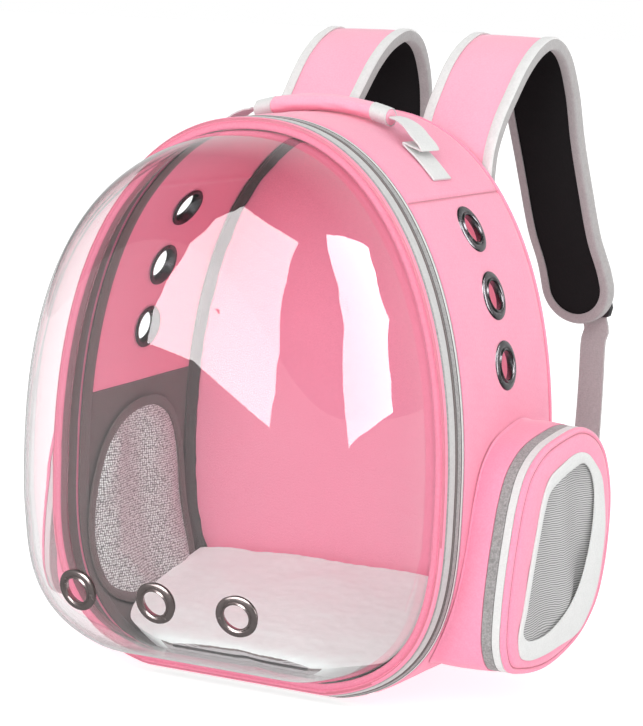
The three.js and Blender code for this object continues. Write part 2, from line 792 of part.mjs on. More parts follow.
function buildHandle() {
  const reach = handleLength / 2;
  const sections = [];
  const crest = topHeight(0, handleY) + handleClearance + handleThickness / 2;
  const steps = 10;
  for (let i = 0; i <= steps; i++) {
    const side = -1 + (2 * i) / steps;
    const x = reach * side;
    const end = 1 - 0.3 * Math.abs(side) ** 8;
    const centreZ = crest - handleDroop * Math.abs(side) ** 2;
    const section = [];
    for (let k = 0; k < handleSides; k++) {
      const turn = (2 * Math.PI * k) / handleSides;
      section.push(new THREE.Vector3(x, handleY + (handleWidth / 2) * end * Math.cos(turn),
        centreZ + (handleThickness / 2) * end * Math.sin(turn)));
    }
    sections.push(section);
  }
  addPiece('handle_grip', loft(sections), 'pink');

  // The webbing leaves the grip, folds over itself once and is sewn down on the top panel.
  const lift = handleWebbingThickness / 2;
  const rows = [
    // share of handle length from its middle, height over the top panel
    [0.52, 11.8],
    [0.574, 13.7],
    [0.648, 14.5],
    [0.713, 12.9],
    [0.765, 12.2],
    [0.787, 10.6],
    [0.755, 8.6],
    [0.7, 5.6],
    [0.665, 4.2],
    [0.645, 3],
    [0.675, 1.4 + lift],
    [0.76, 1.2 + lift],
    [0.885, 1.3 + lift],
  ];
  const knots = rows.map(([part, over]) => {
    const x = part * handleLength;
    return new THREE.Vector3(x, handleY, topHeight(x, handleY) + over);
  });
  const curve = new THREE.CatmullRomCurve3(knots, false, 'centripetal');
  const ribbon = [];
  const ribbonSteps = 20;
  for (let i = 0; i <= ribbonSteps; i++) {
    const share = i / ribbonSteps;
    const centre = curve.getPointAt(share);
    const along = curve.getTangentAt(share);
    const out = new THREE.Vector3(-along.z, 0, along.x).multiplyScalar(lift);
    const corner = (side, turn) => centre.clone().addScaledVector(out, turn)
      .add(new THREE.Vector3(0, (side * handleWebbingWidth) / 2, 0));
    ribbon.push([corner(-1, -1), corner(1, -1), corner(1, 1), corner(-1, 1)]);
  }
  addPair('handle_webbing', loft(ribbon), 'greyLight');
}

// Path of the right strap: share of spread outwards, share of reach behind the back, share of height.
const strapRows = [
  // out, back, up
  [0, 0, 0.47],
  [0, 0.002, 0.56],
  [0, 0.015, 0.64],
  [0, 0.07, 0.73],
  [0, 0.155, 0.815],
  [0, 0.27, 0.91],
  [0, 0.4, 0.975],
  [0, 0.535, 1.0],
  [0.03, 0.66, 0.96],
  [0.1, 0.76, 0.84],
  [0.22, 0.82, 0.667],
  [0.38, 0.865, 0.5],
  [0.56, 0.915, 0.324],
  [0.75, 0.965, 0.198],
  [0.88, 0.985, 0.095],
  [1.0, 1.0, 0],
];

function buildStraps() {
  const low = strapThickness / 2 + strapBindingClearance;
  const high = low + strapBindingThickness;
  const baseY = backY + seamGap + wallThickness + seamGap + high;
  const knots = strapRows.map(([out, back, up]) => new THREE.Vector3(
    strapMiddle + strapSpread * out,
    baseY + strapReach * back,
    strapEndHeight + (strapApexHeight - strapEndHeight) * up,
  ));
  const curve = new THREE.CatmullRomCurve3(knots, false, 'centripetal');
  curve.arcLengthDivisions = 400;
  const length = curve.getLength();
  const straight = length - strapEndRound;
  const twist = (share) => strapTwist * THREE.MathUtils.smoothstep(share, 0.35, 0.7);
  const halfWidth = (way) => {
    const widen = THREE.MathUtils.smoothstep(way / length, 0, 0.3);
    return (strapBaseWidth + (strapWidth - strapBaseWidth) * widen) / 2;
  };
  const rim = strapBindingThickness + 2 * seamGap;
  const ways = [];
  for (let i = 0; i <= strapSteps; i++) ways.push((straight * i) / strapSteps);
  [0.4, 0.7, 0.88, 0.97].forEach((part) => ways.push(straight + (strapEndRound - rim) * part));
  const layer = (bottom, top, turn) => loft(ways.map((way) => {
    const into = Math.max(0, way - straight) / (strapEndRound - rim);
    const half = (halfWidth(way) - rim) * Math.sqrt(1 - into ** 2);
    const at = (side, lift) => ribbonPoint(curve, length, twist, way, side * half, lift);
    return [at(turn, bottom), at(-turn, bottom), at(-turn, top), at(turn, top)];
  }));
  const liningTopLift = -strapThickness / 2 + strapLiningThickness;
  addPair('strap_pad', layer(liningTopLift + seamGap, strapThickness / 2, -1), 'pink');
  addPair('strap_lining', layer(-strapThickness / 2, liningTopLift, 1), 'black');

  const wrap = [
    [0, -high],
    [strapBindingWidth, -high],
    [strapBindingWidth, -low],
    [strapBindingThickness, -low],
    [strapBindingThickness, low],
    [strapBindingWidth, low],
    [strapBindingWidth, high],
    [0, high],
  ];
  const path = [];
  for (let i = 0; i < strapSteps; i++) {
    const way = (straight * i) / strapSteps;
    path.push({ way, side: halfWidth(way), inWay: 0, inSide: -1 });
  }
  const turns = 8;
  const endHalf = halfWidth(length);
  for (let i = 0; i <= turns; i++) {
    const turn = (Math.PI * i) / turns;
    const inward = new THREE.Vector2(-Math.sin(turn) / strapEndRound, -Math.cos(turn) / endHalf).normalize();
    path.push({ way: straight + strapEndRound * Math.sin(turn), side: endHalf * Math.cos(turn), inWay: inward.x,
      inSide: inward.y });
  }
  for (let i = strapSteps - 1; i >= 0; i--) {
    const way = (straight * i) / strapSteps;
    path.push({ way, side: -halfWidth(way), inWay: 0, inSide: 1 });
  }
  const binding = loft(path.map(({ way, side, inWay, inSide }) => wrap.map(([into, lift]) =>
    ribbonPoint(curve, length, twist, way + inWay * into, side + inSide * into, lift))));
  addPair('strap_binding', binding, 'greyLight');
  buildBuckle(curve, length, twist, high);
}

function buildBuckle(curve, length, twist, lift) {
  const frame = new THREE.Shape();
  const halfWide = buckleWidth / 2;
  const halfLong = buckleLength / 2;
  frame.moveTo(-halfWide, -halfLong);
  frame.lineTo(halfWide, -halfLong);
  frame.lineTo(halfWide, halfLong * 0.5);
  frame.lineTo(halfWide * 0.8, halfLong);
  frame.lineTo(-halfWide * 0.8, halfLong);
  frame.lineTo(-halfWide, halfLong * 0.5);
  const slotLong = (buckleLength - 3 * buckleBar) / 2;
  for (const start of [-halfLong + buckleBar, buckleBar / 2]) {
    const slot = new THREE.Path();
    const slotHalf = halfWide - buckleBar;
    slot.moveTo(-slotHalf, start);
    slot.lineTo(-slotHalf, start + slotLong);
    slot.lineTo(slotHalf, start + slotLong);
    slot.lineTo(slotHalf, start);
    frame.holes.push(slot);
  }
  const plate = new THREE.ExtrudeGeometry(frame, { depth: buckleThickness, bevelEnabled: false });
  const { along, across, out } = ribbonFrame(curve, 1, twist);
  const way = length - buckleLength * buckleShare;
  const seat = ribbonPoint(curve, length, twist, way, buckleAside, lift + seamGap);
  const turn = new THREE.Matrix4().makeBasis(across, along, new THREE.Vector3().crossVectors(across, along));
  plate.applyMatrix4(turn);
  plate.translate(seat.x, seat.y, seat.z);
  addPair('ladder_buckle', plate, 'black');

  // The webbing leaves the buckle's lower bar, hangs behind the carrier and is sewn low on its back.
  const start = seat.clone().addScaledVector(along, halfLong + seamGap).addScaledVector(out, buckleThickness / 2);
  const sewnY = backY + seamGap + wallThickness + seamGap + webbingThickness / 2 + seamGap;
  const rows = [
    // share of the way out to the sewn end, share of the way back to it, share of the drop left
    [0, 0, 1],
    [0.02, 0, 0.93],
    [0.04, 0.01, 0.8],
    [0.06, 0.02, 0.68],
    [0.1, 0.05, 0.55],
    [0.2, 0.17, 0.4],
    [0.35, 0.42, 0.27],
    [0.55, 0.69, 0.19],
    [0.74, 0.87, 0.155],
    [0.86, 0.965, 0.125],
    [0.94, 0.993, 0.095],
    [1, 1, 0.045],
  ];
  const sewnX = bodyWidth / 2 - webbingSewnInset;
  const knots = rows.map(([outwards, back, up]) => new THREE.Vector3(
    start.x + (sewnX - start.x) * outwards,
    start.y + (sewnY - start.y) * back,
    start.z * up,
  ));
  knots.splice(1, 0, start.clone().addScaledVector(along, buckleLength * 0.4));
  const path = new THREE.CatmullRomCurve3(knots, false, 'centripetal');
  const total = path.getLength();
  const untwist = (share) => strapTwist * (1 - THREE.MathUtils.smoothstep(share, 0.1, 0.8));
  const sections = [];
  const steps = 17;
  for (let i = 0; i <= steps; i++) {
    const at = (side, up) => ribbonPoint(path, total, untwist, (total * i) / steps, (side * webbingWidth) / 2,
      (up * webbingThickness) / 2);
    sections.push([at(-1, -1), at(1, -1), at(1, 1), at(-1, 1)]);
  }
  addPair('lower_webbing', loft(sections), 'greyMid');
}

buildBody();
buildDoorRing();
buildDome();
buildLining();
buildMat();
buildPockets();
buildHandle();
buildStraps();

export default carrier;
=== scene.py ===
import bpy
import bmesh
import json
import math
from bisect import bisect_left
from mathutils import Matrix, Vector, noise

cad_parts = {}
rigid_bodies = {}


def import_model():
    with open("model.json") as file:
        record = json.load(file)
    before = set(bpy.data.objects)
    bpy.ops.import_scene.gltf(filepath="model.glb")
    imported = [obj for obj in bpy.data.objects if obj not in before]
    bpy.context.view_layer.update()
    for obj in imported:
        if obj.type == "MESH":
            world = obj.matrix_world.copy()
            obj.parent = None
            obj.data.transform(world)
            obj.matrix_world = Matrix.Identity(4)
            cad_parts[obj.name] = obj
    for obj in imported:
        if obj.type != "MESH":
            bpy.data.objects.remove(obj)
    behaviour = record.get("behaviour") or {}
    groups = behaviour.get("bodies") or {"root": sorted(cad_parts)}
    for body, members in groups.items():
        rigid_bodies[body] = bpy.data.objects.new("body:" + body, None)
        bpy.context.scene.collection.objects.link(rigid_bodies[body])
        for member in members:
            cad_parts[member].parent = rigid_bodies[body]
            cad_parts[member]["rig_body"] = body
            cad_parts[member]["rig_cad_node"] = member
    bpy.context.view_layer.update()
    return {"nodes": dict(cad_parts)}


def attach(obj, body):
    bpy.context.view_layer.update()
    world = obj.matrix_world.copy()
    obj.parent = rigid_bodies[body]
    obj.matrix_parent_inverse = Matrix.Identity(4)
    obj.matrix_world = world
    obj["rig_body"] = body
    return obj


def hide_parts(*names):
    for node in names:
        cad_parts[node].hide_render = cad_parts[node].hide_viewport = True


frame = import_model()
mm = 0.001
print("frame loaded,", len(frame["nodes"]), "solids")

# The cloth body's form. Lengths are in millimetres, +X is the right side, the bubble faces -Y.
body = {
    "width": 316, "height": 403, "depth": 180, "widest": 151,
    "archPower": 2.2, "cornerPower": 3.0, "cornerSink": 5,
    "backNarrowing": 4.5, "backRise": 2.5, "toeRise": 9,
    "front": -90.0, "back": 90.0, "wallFront": -62.7, "wall": 3.0, "ringBulge": 5.2,
    "crossSeam": 104, "bottomSeam": 92,
}


def outlineAtAngle(angle, y):
    back = (y - body["front"]) / body["depth"]
    half = body["width"] / 2 - body["backNarrowing"] * back
    height = body["height"] + body["backRise"] * back
    c, s = abs(math.cos(angle)), math.sin(angle)
    power = 2 / (body["archPower"] if s >= 0 else body["cornerPower"])
    rise = height - body["widest"] if s >= 0 else body["widest"] + body["cornerSink"]
    z = body["widest"] + rise * math.copysign(abs(s) ** power, s)
    forward = max(0, body["wallFront"] - y) / (body["wallFront"] - body["front"] + body["ringBulge"])
    low = min(max(0, 1 - z / body["widest"]), 1)
    return half * c ** power, max(z, 0) + body["toeRise"] * forward * low ** 2


# Angle for each length along the right half, counted from the middle of the base
wayTable, angleTable = [0.0], [-math.pi / 2]
for step in range(1, 1201):
    angle = -math.pi / 2 + math.pi * step / 1200
    wayTable.append(wayTable[-1] + math.dist(outlineAtAngle(angle, 0), outlineAtAngle(angleTable[-1], 0)))
    angleTable.append(angle)
halfWay = wayTable[-1]


def outline(share, y):
    turn = share % 1
    side = 1 if turn <= 0.5 else -1
    way = (turn if side > 0 else 1 - turn) * 2 * halfWay
    i = min(max(bisect_left(wayTable, way), 1), len(wayTable) - 1)
    part = (way - wayTable[i - 1]) / (wayTable[i] - wayTable[i - 1])
    x, z = outlineAtAngle(angleTable[i - 1] + (angleTable[i] - angleTable[i - 1]) * part, y)
    return side * x, z


def outlineNormal(share, y):
    ax, az = outline(share + 0.003, y)
    bx, bz = outline(share - 0.003, y)
    length = math.hypot(ax - bx, az - bz)
    return (az - bz) / length, -(ax - bx) / length


def skin(share, y, inset=0.0):  # a point of the body, moved in by inset
    x, z = outline(share, y)
    nx, nz = outlineNormal(share, y)
    return Vector((x - nx * inset, y, z - nz * inset)) * mm


def shareWhere(meets, y=0.0):  # where the right half first meets a condition
    share = 0.0
    while share < 0.5 and not meets(outline(share, y)):
        share += 0.0005
    return share


def shareAtHeight(z, y):
    low, high = 0.0, 0.5
    for _ in range(24):
        middle = (low + high) / 2
        if outline(middle, y)[1] < z:
            low = middle
        else:
            high = middle
    return high


crossSeam = shareWhere(lambda p: p[1] > body["widest"] and p[0] < body["crossSeam"])
bottomSeam = shareWhere(lambda p: p[0] > body["bottomSeam"])


# Smooth lines through given points
def splinePoint(p0, p1, p2, p3, t):
    d0 = max((p1 - p0).length ** 0.5, 1e-5)
    d1 = max((p2 - p1).length ** 0.5, 1e-5)
    d2 = max((p3 - p2).length ** 0.5, 1e-5)
    m1 = ((p1 - p0) / d0 - (p2 - p0) / (d0 + d1) + (p2 - p1) / d1) * d1
    m2 = ((p2 - p1) / d1 - (p3 - p1) / (d1 + d2) + (p3 - p2) / d2) * d1
    return (p1 * (2 * t ** 3 - 3 * t ** 2 + 1) + m1 * (t ** 3 - 2 * t ** 2 + t)
            + p2 * (3 * t ** 2 - 2 * t ** 3) + m2 * (t ** 3 - t ** 2))


def smoothLoop(knots, steps):
    count = len(knots)
    points = []
    for i in range(steps):
        place = i / steps * count
        k = int(place)
        around = [knots[(k + j) % count] for j in (-1, 0, 1, 2)]
        points.append(splinePoint(*around, place - k))
    return points


def easeBetween(low, high, value):
    t = min(max((value - low) / (high - low), 0), 1)
    return t * t * (3 - 2 * t)


class Path:  # an open smooth line, read by the length along it, and the turn of a ribbon that follows it
    def __init__(self, knots, twist=None):
        self.twist = twist or (lambda share: 0)
        fine = []
        for k in range(len(knots) - 1):
            p0 = knots[k - 1] if k else knots[0] * 2 - knots[1]
            p3 = knots[k + 2] if k + 2 < len(knots) else knots[-1] * 2 - knots[-2]
            fine += [splinePoint(p0, knots[k], knots[k + 1], p3, t / 24) for t in range(24)]
        self.points = fine + [knots[-1]]
        self.ways = [0.0]
        for a, b in zip(self.points, self.points[1:]):
            self.ways.append(self.ways[-1] + (b - a).length)
        self.length = self.ways[-1]

    def at(self, way):
        i = min(max(bisect_left(self.ways, way), 1), len(self.ways) - 1)
        part = (way - self.ways[i - 1]) / (self.ways[i] - self.ways[i - 1])
        return self.points[i - 1].lerp(self.points[i], min(max(part, 0), 1))

    def frame(self, way):  # centre, direction, sideways and outward of a ribbon on the line
        held = min(max(way, 0), self.length)
        along = (self.at(min(held + 2, self.length)) - self.at(max(held - 2, 0))).normalized()
        across = (Vector((1, 0, 0)) - along * along.x).normalized()
        across = Matrix.Rotation(math.radians(self.twist(held / self.length)), 3, along) @ across
        return self.at(held) + along * (way - held), along, across, across.cross(along).normalized()

    def ribbon(self, way, side, lift):
        centre, along, across, out = self.frame(way)
        return centre + across * side + out * lift


# Modelling helpers
def deselectAll():
    if bpy.context.object and bpy.context.object.mode != "OBJECT":
        bpy.ops.object.mode_set(mode="OBJECT")
    bpy.ops.object.select_all(action="DESELECT")


def takeUp(piece):
    deselectAll()
    piece.select_set(True)
    bpy.context.view_layer.objects.active = piece


def applied(piece, kind, **settings):
    takeUp(piece)
    modifier = piece.modifiers.new(kind.lower(), kind)
    for key, value in settings.items():
        setattr(modifier, key, value)
    bpy.ops.object.modifier_apply(modifier=modifier.name)
    return piece


def corner(place):
    return tuple(round(v, 7) for v in place)


# A circle is added and extruded from loop to loop. Closed loops of loops meet themselves again.
def growLoops(name, loops, joined=False, caps=False):
    deselectAll()
    filled = "NGON" if caps else "NOTHING"
    bpy.ops.mesh.primitive_circle_add(vertices=len(loops[0]), radius=0.1, fill_type=filled)
    piece = bpy.context.object
    piece.name = piece.data.name = name
    for vertex, place in zip(piece.data.vertices, loops[0]):
        vertex.co = place
    bpy.ops.object.mode_set(mode="EDIT")
    bpy.ops.mesh.select_all(action="SELECT")
    edit = bmesh.from_edit_mesh(piece.data)
    edit.verts.ensure_lookup_table()
    order = list(edit.verts)
    for loop in loops[1:] + (loops[:1] if joined else []):
        where = {corner(v.co): i for i, v in enumerate(order)}
        bpy.ops.mesh.extrude_region_move()
        edit = bmesh.from_edit_mesh(piece.data)
        order = [None] * len(loop)
        for vertex in edit.verts:
            if vertex.select:
                order[where[corner(vertex.co)]] = vertex
        for vertex, place in zip(order, loop):
            vertex.co = place
    bmesh.update_edit_mesh(piece.data)
    bpy.ops.mesh.select_all(action="SELECT")
    bpy.ops.mesh.remove_doubles(threshold=1e-6)
    bpy.ops.mesh.normals_make_consistent(inside=False)
    bpy.ops.object.mode_set(mode="OBJECT")
    return piece


def evenShares(count):
    return [i / count for i in range(count)]


def bandAround(name, section, shares):  # a closed band whose section, in depth and inset, follows the body
    return growLoops(name, [[skin(share, y, inset) for share in shares] for y, inset in section], joined=True)


def cutAway(piece, cutters, keep="DIFFERENCE"):
    for cutter in cutters:
        applied(piece, "BOOLEAN", operation=keep, solver="EXACT", object=cutter)
    for cutter in cutters:
        bpy.data.objects.remove(cutter)
    return piece


def mirrorCopy(piece, name):
    copy = piece.copy()
    copy.data = piece.data.copy()
    copy.name = copy.data.name = name
    bpy.context.scene.collection.objects.link(copy)
    copy.data.transform(Matrix.Scale(-1, 4, (1, 0, 0)))
    copy.data.flip_normals()
    return copy


def finishPiece(piece, nodes, slotName, *materials, smooth=40):
    takeUp(piece)
    if materials:
        if not piece.data.materials:
            for material in materials:
                piece.data.materials.append(material)
        else:
            for i, material in enumerate(materials):
                piece.data.materials[i] = material
    bpy.ops.object.shade_smooth_by_angle(angle=math.radians(smooth))
    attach(piece, "root")
    if nodes:
        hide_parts(*nodes)
    return piece


def finishPair(piece, name, nodes, slotName, *materials, smooth=40):
    left = mirrorCopy(piece, name + "_left")
    piece.name = piece.data.name = name + "_right"
    finishPiece(piece, [n + "_right" for n in nodes], slotName, *materials, smooth=smooth)
    finishPiece(left, [n + "_left" for n in nodes], slotName, *materials, smooth=smooth)
    return piece, left


def ripple(place, size, height):
    return noise.noise(Vector(place) / (size * mm)) * height


# Shader helpers
def addNode(tree, kind, **settings):
    node = tree.nodes.new(kind)
    for key, value in settings.items():
        setattr(node, key, value)
    return node


def newGroup(name, inputs, outputs):
    group = bpy.data.node_groups.new(name, "ShaderNodeTree")
    for label, kind, value in inputs:
        socket = group.interface.new_socket(name=label, in_out="INPUT", socket_type=kind)
        if value is not None:
            socket.default_value = value
    for label, kind in outputs:
        group.interface.new_socket(name=label, in_out="OUTPUT", socket_type=kind)
    return group, addNode(group, "NodeGroupInput"), addNode(group, "NodeGroupOutput")


def makeWeaveGroup():  # crossed threads on all three axes, a fine grain, and soft cloudy colour
    group, into, out = newGroup("clothThreads", [
        ("Colour", "NodeSocketColor", (0.8, 0.8, 0.8, 1)),
        ("Shade Colour", "NodeSocketColor", (0.5, 0.5, 0.5, 1)),
        ("Thread Size", "NodeSocketFloat", 0.0012), ("Thread Contrast", "NodeSocketFloat", 0.3),
        ("Cloud Size", "NodeSocketFloat", 0.05), ("Cloud Contrast", "NodeSocketFloat", 0.3),
    ], [("Colour", "NodeSocketColor"), ("Height", "NodeSocketFloat")])
    links = group.links
    place = addNode(group, "ShaderNodeTexCoord")
    split = addNode(group, "ShaderNodeSeparateXYZ")
    links.new(place.outputs["Object"], split.inputs[0])
    turn = addNode(group, "ShaderNodeMath", operation="DIVIDE")
    turn.inputs[0].default_value = 2 * math.pi
    links.new(into.outputs["Thread Size"], turn.inputs[1])
    total = None
    for axis in "XYZ":
        scaled = addNode(group, "ShaderNodeMath", operation="MULTIPLY")
        links.new(split.outputs[axis], scaled.inputs[0])
        links.new(turn.outputs[0], scaled.inputs[1])
        wave = addNode(group, "ShaderNodeMath", operation="SINE")
        links.new(scaled.outputs[0], wave.inputs[0])
        if total is None:
            total = wave
        else:
            both = addNode(group, "ShaderNodeMath", operation="ADD")
            links.new(total.outputs[0], both.inputs[0])
            links.new(wave.outputs[0], both.inputs[1])
            total = both
    height = addNode(group, "ShaderNodeMath", operation="MULTIPLY_ADD")
    height.inputs[1].default_value = 0.07
    height.inputs[2].default_value = -0.35
    links.new(total.outputs[0], height.inputs[0])
    grain = addNode(group, "ShaderNodeTexNoise")
    grain.inputs["Scale"].default_value = 700
    grain.inputs["Detail"].default_value = 3
    links.new(place.outputs["Object"], grain.inputs["Vector"])
    fine = addNode(group, "ShaderNodeMath", operation="MULTIPLY")
    fine.inputs[1].default_value = 2.4
    links.new(grain.outputs["Fac"], fine.inputs[0])
    cloudScale = addNode(group, "ShaderNodeMath", operation="DIVIDE")
    cloudScale.inputs[0].default_value = 1
    links.new(into.outputs["Cloud Size"], cloudScale.inputs[1])
    cloud = addNode(group, "ShaderNodeTexNoise")
    cloud.inputs["Detail"].default_value = 4
    links.new(place.outputs["Object"], cloud.inputs["Vector"])
    links.new(cloudScale.outputs[0], cloud.inputs["Scale"])
    threads = addNode(group, "ShaderNodeMath", operation="ADD")
    links.new(height.outputs[0], threads.inputs[0])
    links.new(fine.outputs[0], threads.inputs[1])
    threadShade = addNode(group, "ShaderNodeMath", operation="MULTIPLY_ADD")
    links.new(threads.outputs[0], threadShade.inputs[0])
    links.new(into.outputs["Thread Contrast"], threadShade.inputs[1])
    cloudShade = addNode(group, "ShaderNodeMath", operation="MULTIPLY_ADD")
    links.new(cloud.outputs["Fac"], cloudShade.inputs[0])
    links.new(into.outputs["Cloud Contrast"], cloudShade.inputs[1])
    cloudShade.inputs[2].default_value = 0
    links.new(cloudShade.outputs[0], threadShade.inputs[2])
    mixed = addNode(group, "ShaderNodeMix", data_type="RGBA")
    links.new(threadShade.outputs[0], mixed.inputs["Factor"])
    links.new(into.outputs["Colour"], mixed.inputs[6])
    links.new(into.outputs["Shade Colour"], mixed.inputs[7])
    links.new(mixed.outputs[2], out.inputs["Colour"])
    links.new(threads.outputs[0], out.inputs["Height"])
    return group


weaveGroup = makeWeaveGroup()


def blank(name):
    material = bpy.data.materials.new(name)
    material.use_nodes = True
    return material, material.node_tree, material.node_tree.nodes["Principled BSDF"]


def clothMaterial(name, colour, shade, thread=1.2, contrast=0.25, cloud=50, clouding=0.3, bump=0.25,
                  rough=0.85, sheen=0.3):
    material, tree, shader = blank(name)
    weave = addNode(tree, "ShaderNodeGroup")
    weave.node_tree = weaveGroup
    weave.inputs["Colour"].default_value = (*colour, 1)
    weave.inputs["Shade Colour"].default_value = (*shade, 1)
    weave.inputs["Thread Size"].default_value = thread * mm
    weave.inputs["Thread Contrast"].default_value = contrast
    weave.inputs["Cloud Size"].default_value = cloud * mm
    weave.inputs["Cloud Contrast"].default_value = clouding
    tree.links.new(weave.outputs["Colour"], shader.inputs["Base Color"])
    raised = addNode(tree, "ShaderNodeBump")
    raised.inputs["Strength"].default_value = bump
    raised.inputs["Distance"].default_value = 0.0004
    tree.links.new(weave.outputs["Height"], raised.inputs["Height"])
    tree.links.new(raised.outputs["Normal"], shader.inputs["Normal"])
    shader.inputs["Roughness"].default_value = rough
    shader.inputs["Sheen Weight"].default_value = sheen
    shader.inputs["Sheen Roughness"].default_value = 0.5
    return material


pinkCloth = clothMaterial("pinkCloth", (0.93, 0.32, 0.465), (0.78, 0.19, 0.32), thread=0.9,
                          contrast=0.34, cloud=30)
# a lighter copy of pinkCloth: painted light for the brighter-lit straps and handle
strapCloth = clothMaterial("strapCloth", (0.97, 0.45, 0.58), (0.86, 0.29, 0.42), thread=0.9,
                           contrast=0.3, cloud=34)
ringCloth = clothMaterial("ringCloth", (0.86, 0.29, 0.41), (0.72, 0.18, 0.29), thread=0.9,
                          contrast=0.34, cloud=30, sheen=0.1)
# a darker copy of ringCloth: painted shade on the ring's inner half
ringPaintedShade = clothMaterial("ringPaintedShade", (0.76, 0.22, 0.33), (0.62, 0.14, 0.23), thread=0.9,
                         contrast=0.34, cloud=30, sheen=0.05)
# the same cloth seen on the inside: painted light, its colour raised to stand in for light the cabin lacks
pinkInside = clothMaterial("pinkInside", (0.98, 0.32, 0.46), (0.86, 0.22, 0.35), thread=0.9,
                           contrast=0.3, clouding=0.25)
floorCloth = clothMaterial("floorCloth", (0.42, 0.43, 0.43), (0.30, 0.31, 0.31), thread=0.9,
                           contrast=0.3, rough=0.9)
zipTape = clothMaterial("zipTape", (0.58, 0.58, 0.57), (0.36, 0.36, 0.36), thread=0.9,
                        contrast=0.4, cloud=4, rough=0.8)
paleTape = clothMaterial("paleTape", (0.72, 0.73, 0.72), (0.52, 0.53, 0.52), thread=1.6,
                         contrast=0.3, rough=0.8)
greyTape = clothMaterial("greyTape", (0.46, 0.45, 0.44), (0.15, 0.145, 0.145), thread=1.1,
                         contrast=0.5, cloud=3, clouding=0.5, bump=0.5, rough=0.8)
feltBinding = clothMaterial("feltBinding", (0.80, 0.80, 0.79), (0.55, 0.55, 0.54), thread=0.7,
                            contrast=0.25, cloud=5, clouding=0.35, bump=0.5, rough=0.95, sheen=0.4)
# a darker copy of feltBinding: painted shade for the strap binding's shaded underside
feltPaintedShade = clothMaterial("feltPaintedShade", (0.44, 0.43, 0.425), (0.26, 0.25, 0.25), thread=0.7,
                          contrast=0.3, cloud=5, clouding=0.4, bump=0.5, rough=0.95)
borderFelt = clothMaterial("borderFelt", (0.52, 0.50, 0.51), (0.36, 0.34, 0.35), thread=0.8,
                           contrast=0.3, cloud=12, bump=0.4, rough=0.95, sheen=0.4)
# the real dark lining and zip teeth, also used as painted shade on inward faces and along the mat's front seam
darkLiningAndShade = clothMaterial("darkLiningAndShade", (0.14, 0.105, 0.10), (0.07, 0.05, 0.05), contrast=0.35, rough=0.9)
blackLining = clothMaterial("blackLining", (0.008, 0.007, 0.008), (0.003, 0.003, 0.003), contrast=0.3,
                            rough=0.95, sheen=0.03)
blackLining.node_tree.nodes["Principled BSDF"].inputs["Specular IOR Level"].default_value = 0.15
webbingGrey = clothMaterial("webbingGrey", (0.50, 0.49, 0.485), (0.34, 0.335, 0.33), thread=1.8,
                            contrast=0.45, bump=0.5, rough=0.8)
# the real dark back-seam binding, also used as painted shade in the rear zip tape's gaps
darkBindingAndGapShade = clothMaterial("darkBindingAndGapShade", (0.085, 0.068, 0.066), (0.035, 0.028, 0.028), contrast=0.4,
                            rough=0.9)
threadPink = clothMaterial("threadPink", (0.58, 0.13, 0.20), (0.44, 0.08, 0.13), contrast=0.2, rough=0.7)


def plushMaterial():
    material, tree, shader = blank("creamPlush")
    place = addNode(tree, "ShaderNodeTexCoord")
    tufts = addNode(tree, "ShaderNodeTexNoise")
    tufts.inputs["Scale"].default_value = 160
    tufts.inputs["Detail"].default_value = 8
    tufts.inputs["Roughness"].default_value = 0.7
    tree.links.new(place.outputs["Object"], tufts.inputs["Vector"])
    ramp = addNode(tree, "ShaderNodeValToRGB")
    ramp.color_ramp.elements[0].position = 0.3
    ramp.color_ramp.elements[0].color = (0.84, 0.91, 0.89, 1)
    ramp.color_ramp.elements[1].position = 0.65
    ramp.color_ramp.elements[1].color = (0.91, 0.985, 0.965, 1)
    tree.links.new(tufts.outputs["Fac"], ramp.inputs["Fac"])
    tree.links.new(ramp.outputs["Color"], shader.inputs["Base Color"])
    raised = addNode(tree, "ShaderNodeBump")
    raised.inputs["Strength"].default_value = 0.35
    raised.inputs["Distance"].default_value = 0.0015
    tree.links.new(tufts.outputs["Fac"], raised.inputs["Height"])
    tree.links.new(raised.outputs["Normal"], shader.inputs["Normal"])
    shader.inputs["Roughness"].default_value = 1
    shader.inputs["Sheen Weight"].default_value = 0.6
    return material


def meshMaterial(name, knot, gap, stretch, scale):  # fine netting: pale knots of thread, dark gaps
    material, tree, shader = blank(name)
    place = addNode(tree, "ShaderNodeTexCoord")
    pulled = addNode(tree, "ShaderNodeMapping")
    pulled.inputs["Scale"].default_value = stretch
    tree.links.new(place.outputs["Object"], pulled.inputs["Vector"])
    cells = addNode(tree, "ShaderNodeTexVoronoi")
    cells.inputs["Scale"].default_value = scale
    cells.inputs["Randomness"].default_value = 0.35
    tree.links.new(pulled.outputs["Vector"], cells.inputs["Vector"])
    ramp = addNode(tree, "ShaderNodeValToRGB")
    ramp.color_ramp.elements[0].position = 0.25
    ramp.color_ramp.elements[0].color = (*knot, 1)
    ramp.color_ramp.elements[1].position = 0.62
    ramp.color_ramp.elements[1].color = (*gap, 1)
    tree.links.new(cells.outputs["Distance"], ramp.inputs["Fac"])
    tree.links.new(ramp.outputs["Color"], shader.inputs["Base Color"])
    raised = addNode(tree, "ShaderNodeBump")
    raised.inputs["Strength"].default_value = 0.5
    raised.inputs["Distance"].default_value = 0.0005
    tree.links.new(cells.outputs["Distance"], raised.inputs["Height"])
    tree.links.new(raised.outputs["Normal"], shader.inputs["Normal"])
    shader.inputs["Roughness"].default_value = 0.7
    shader.inputs["Sheen Weight"].default_value = 0.3
    return material


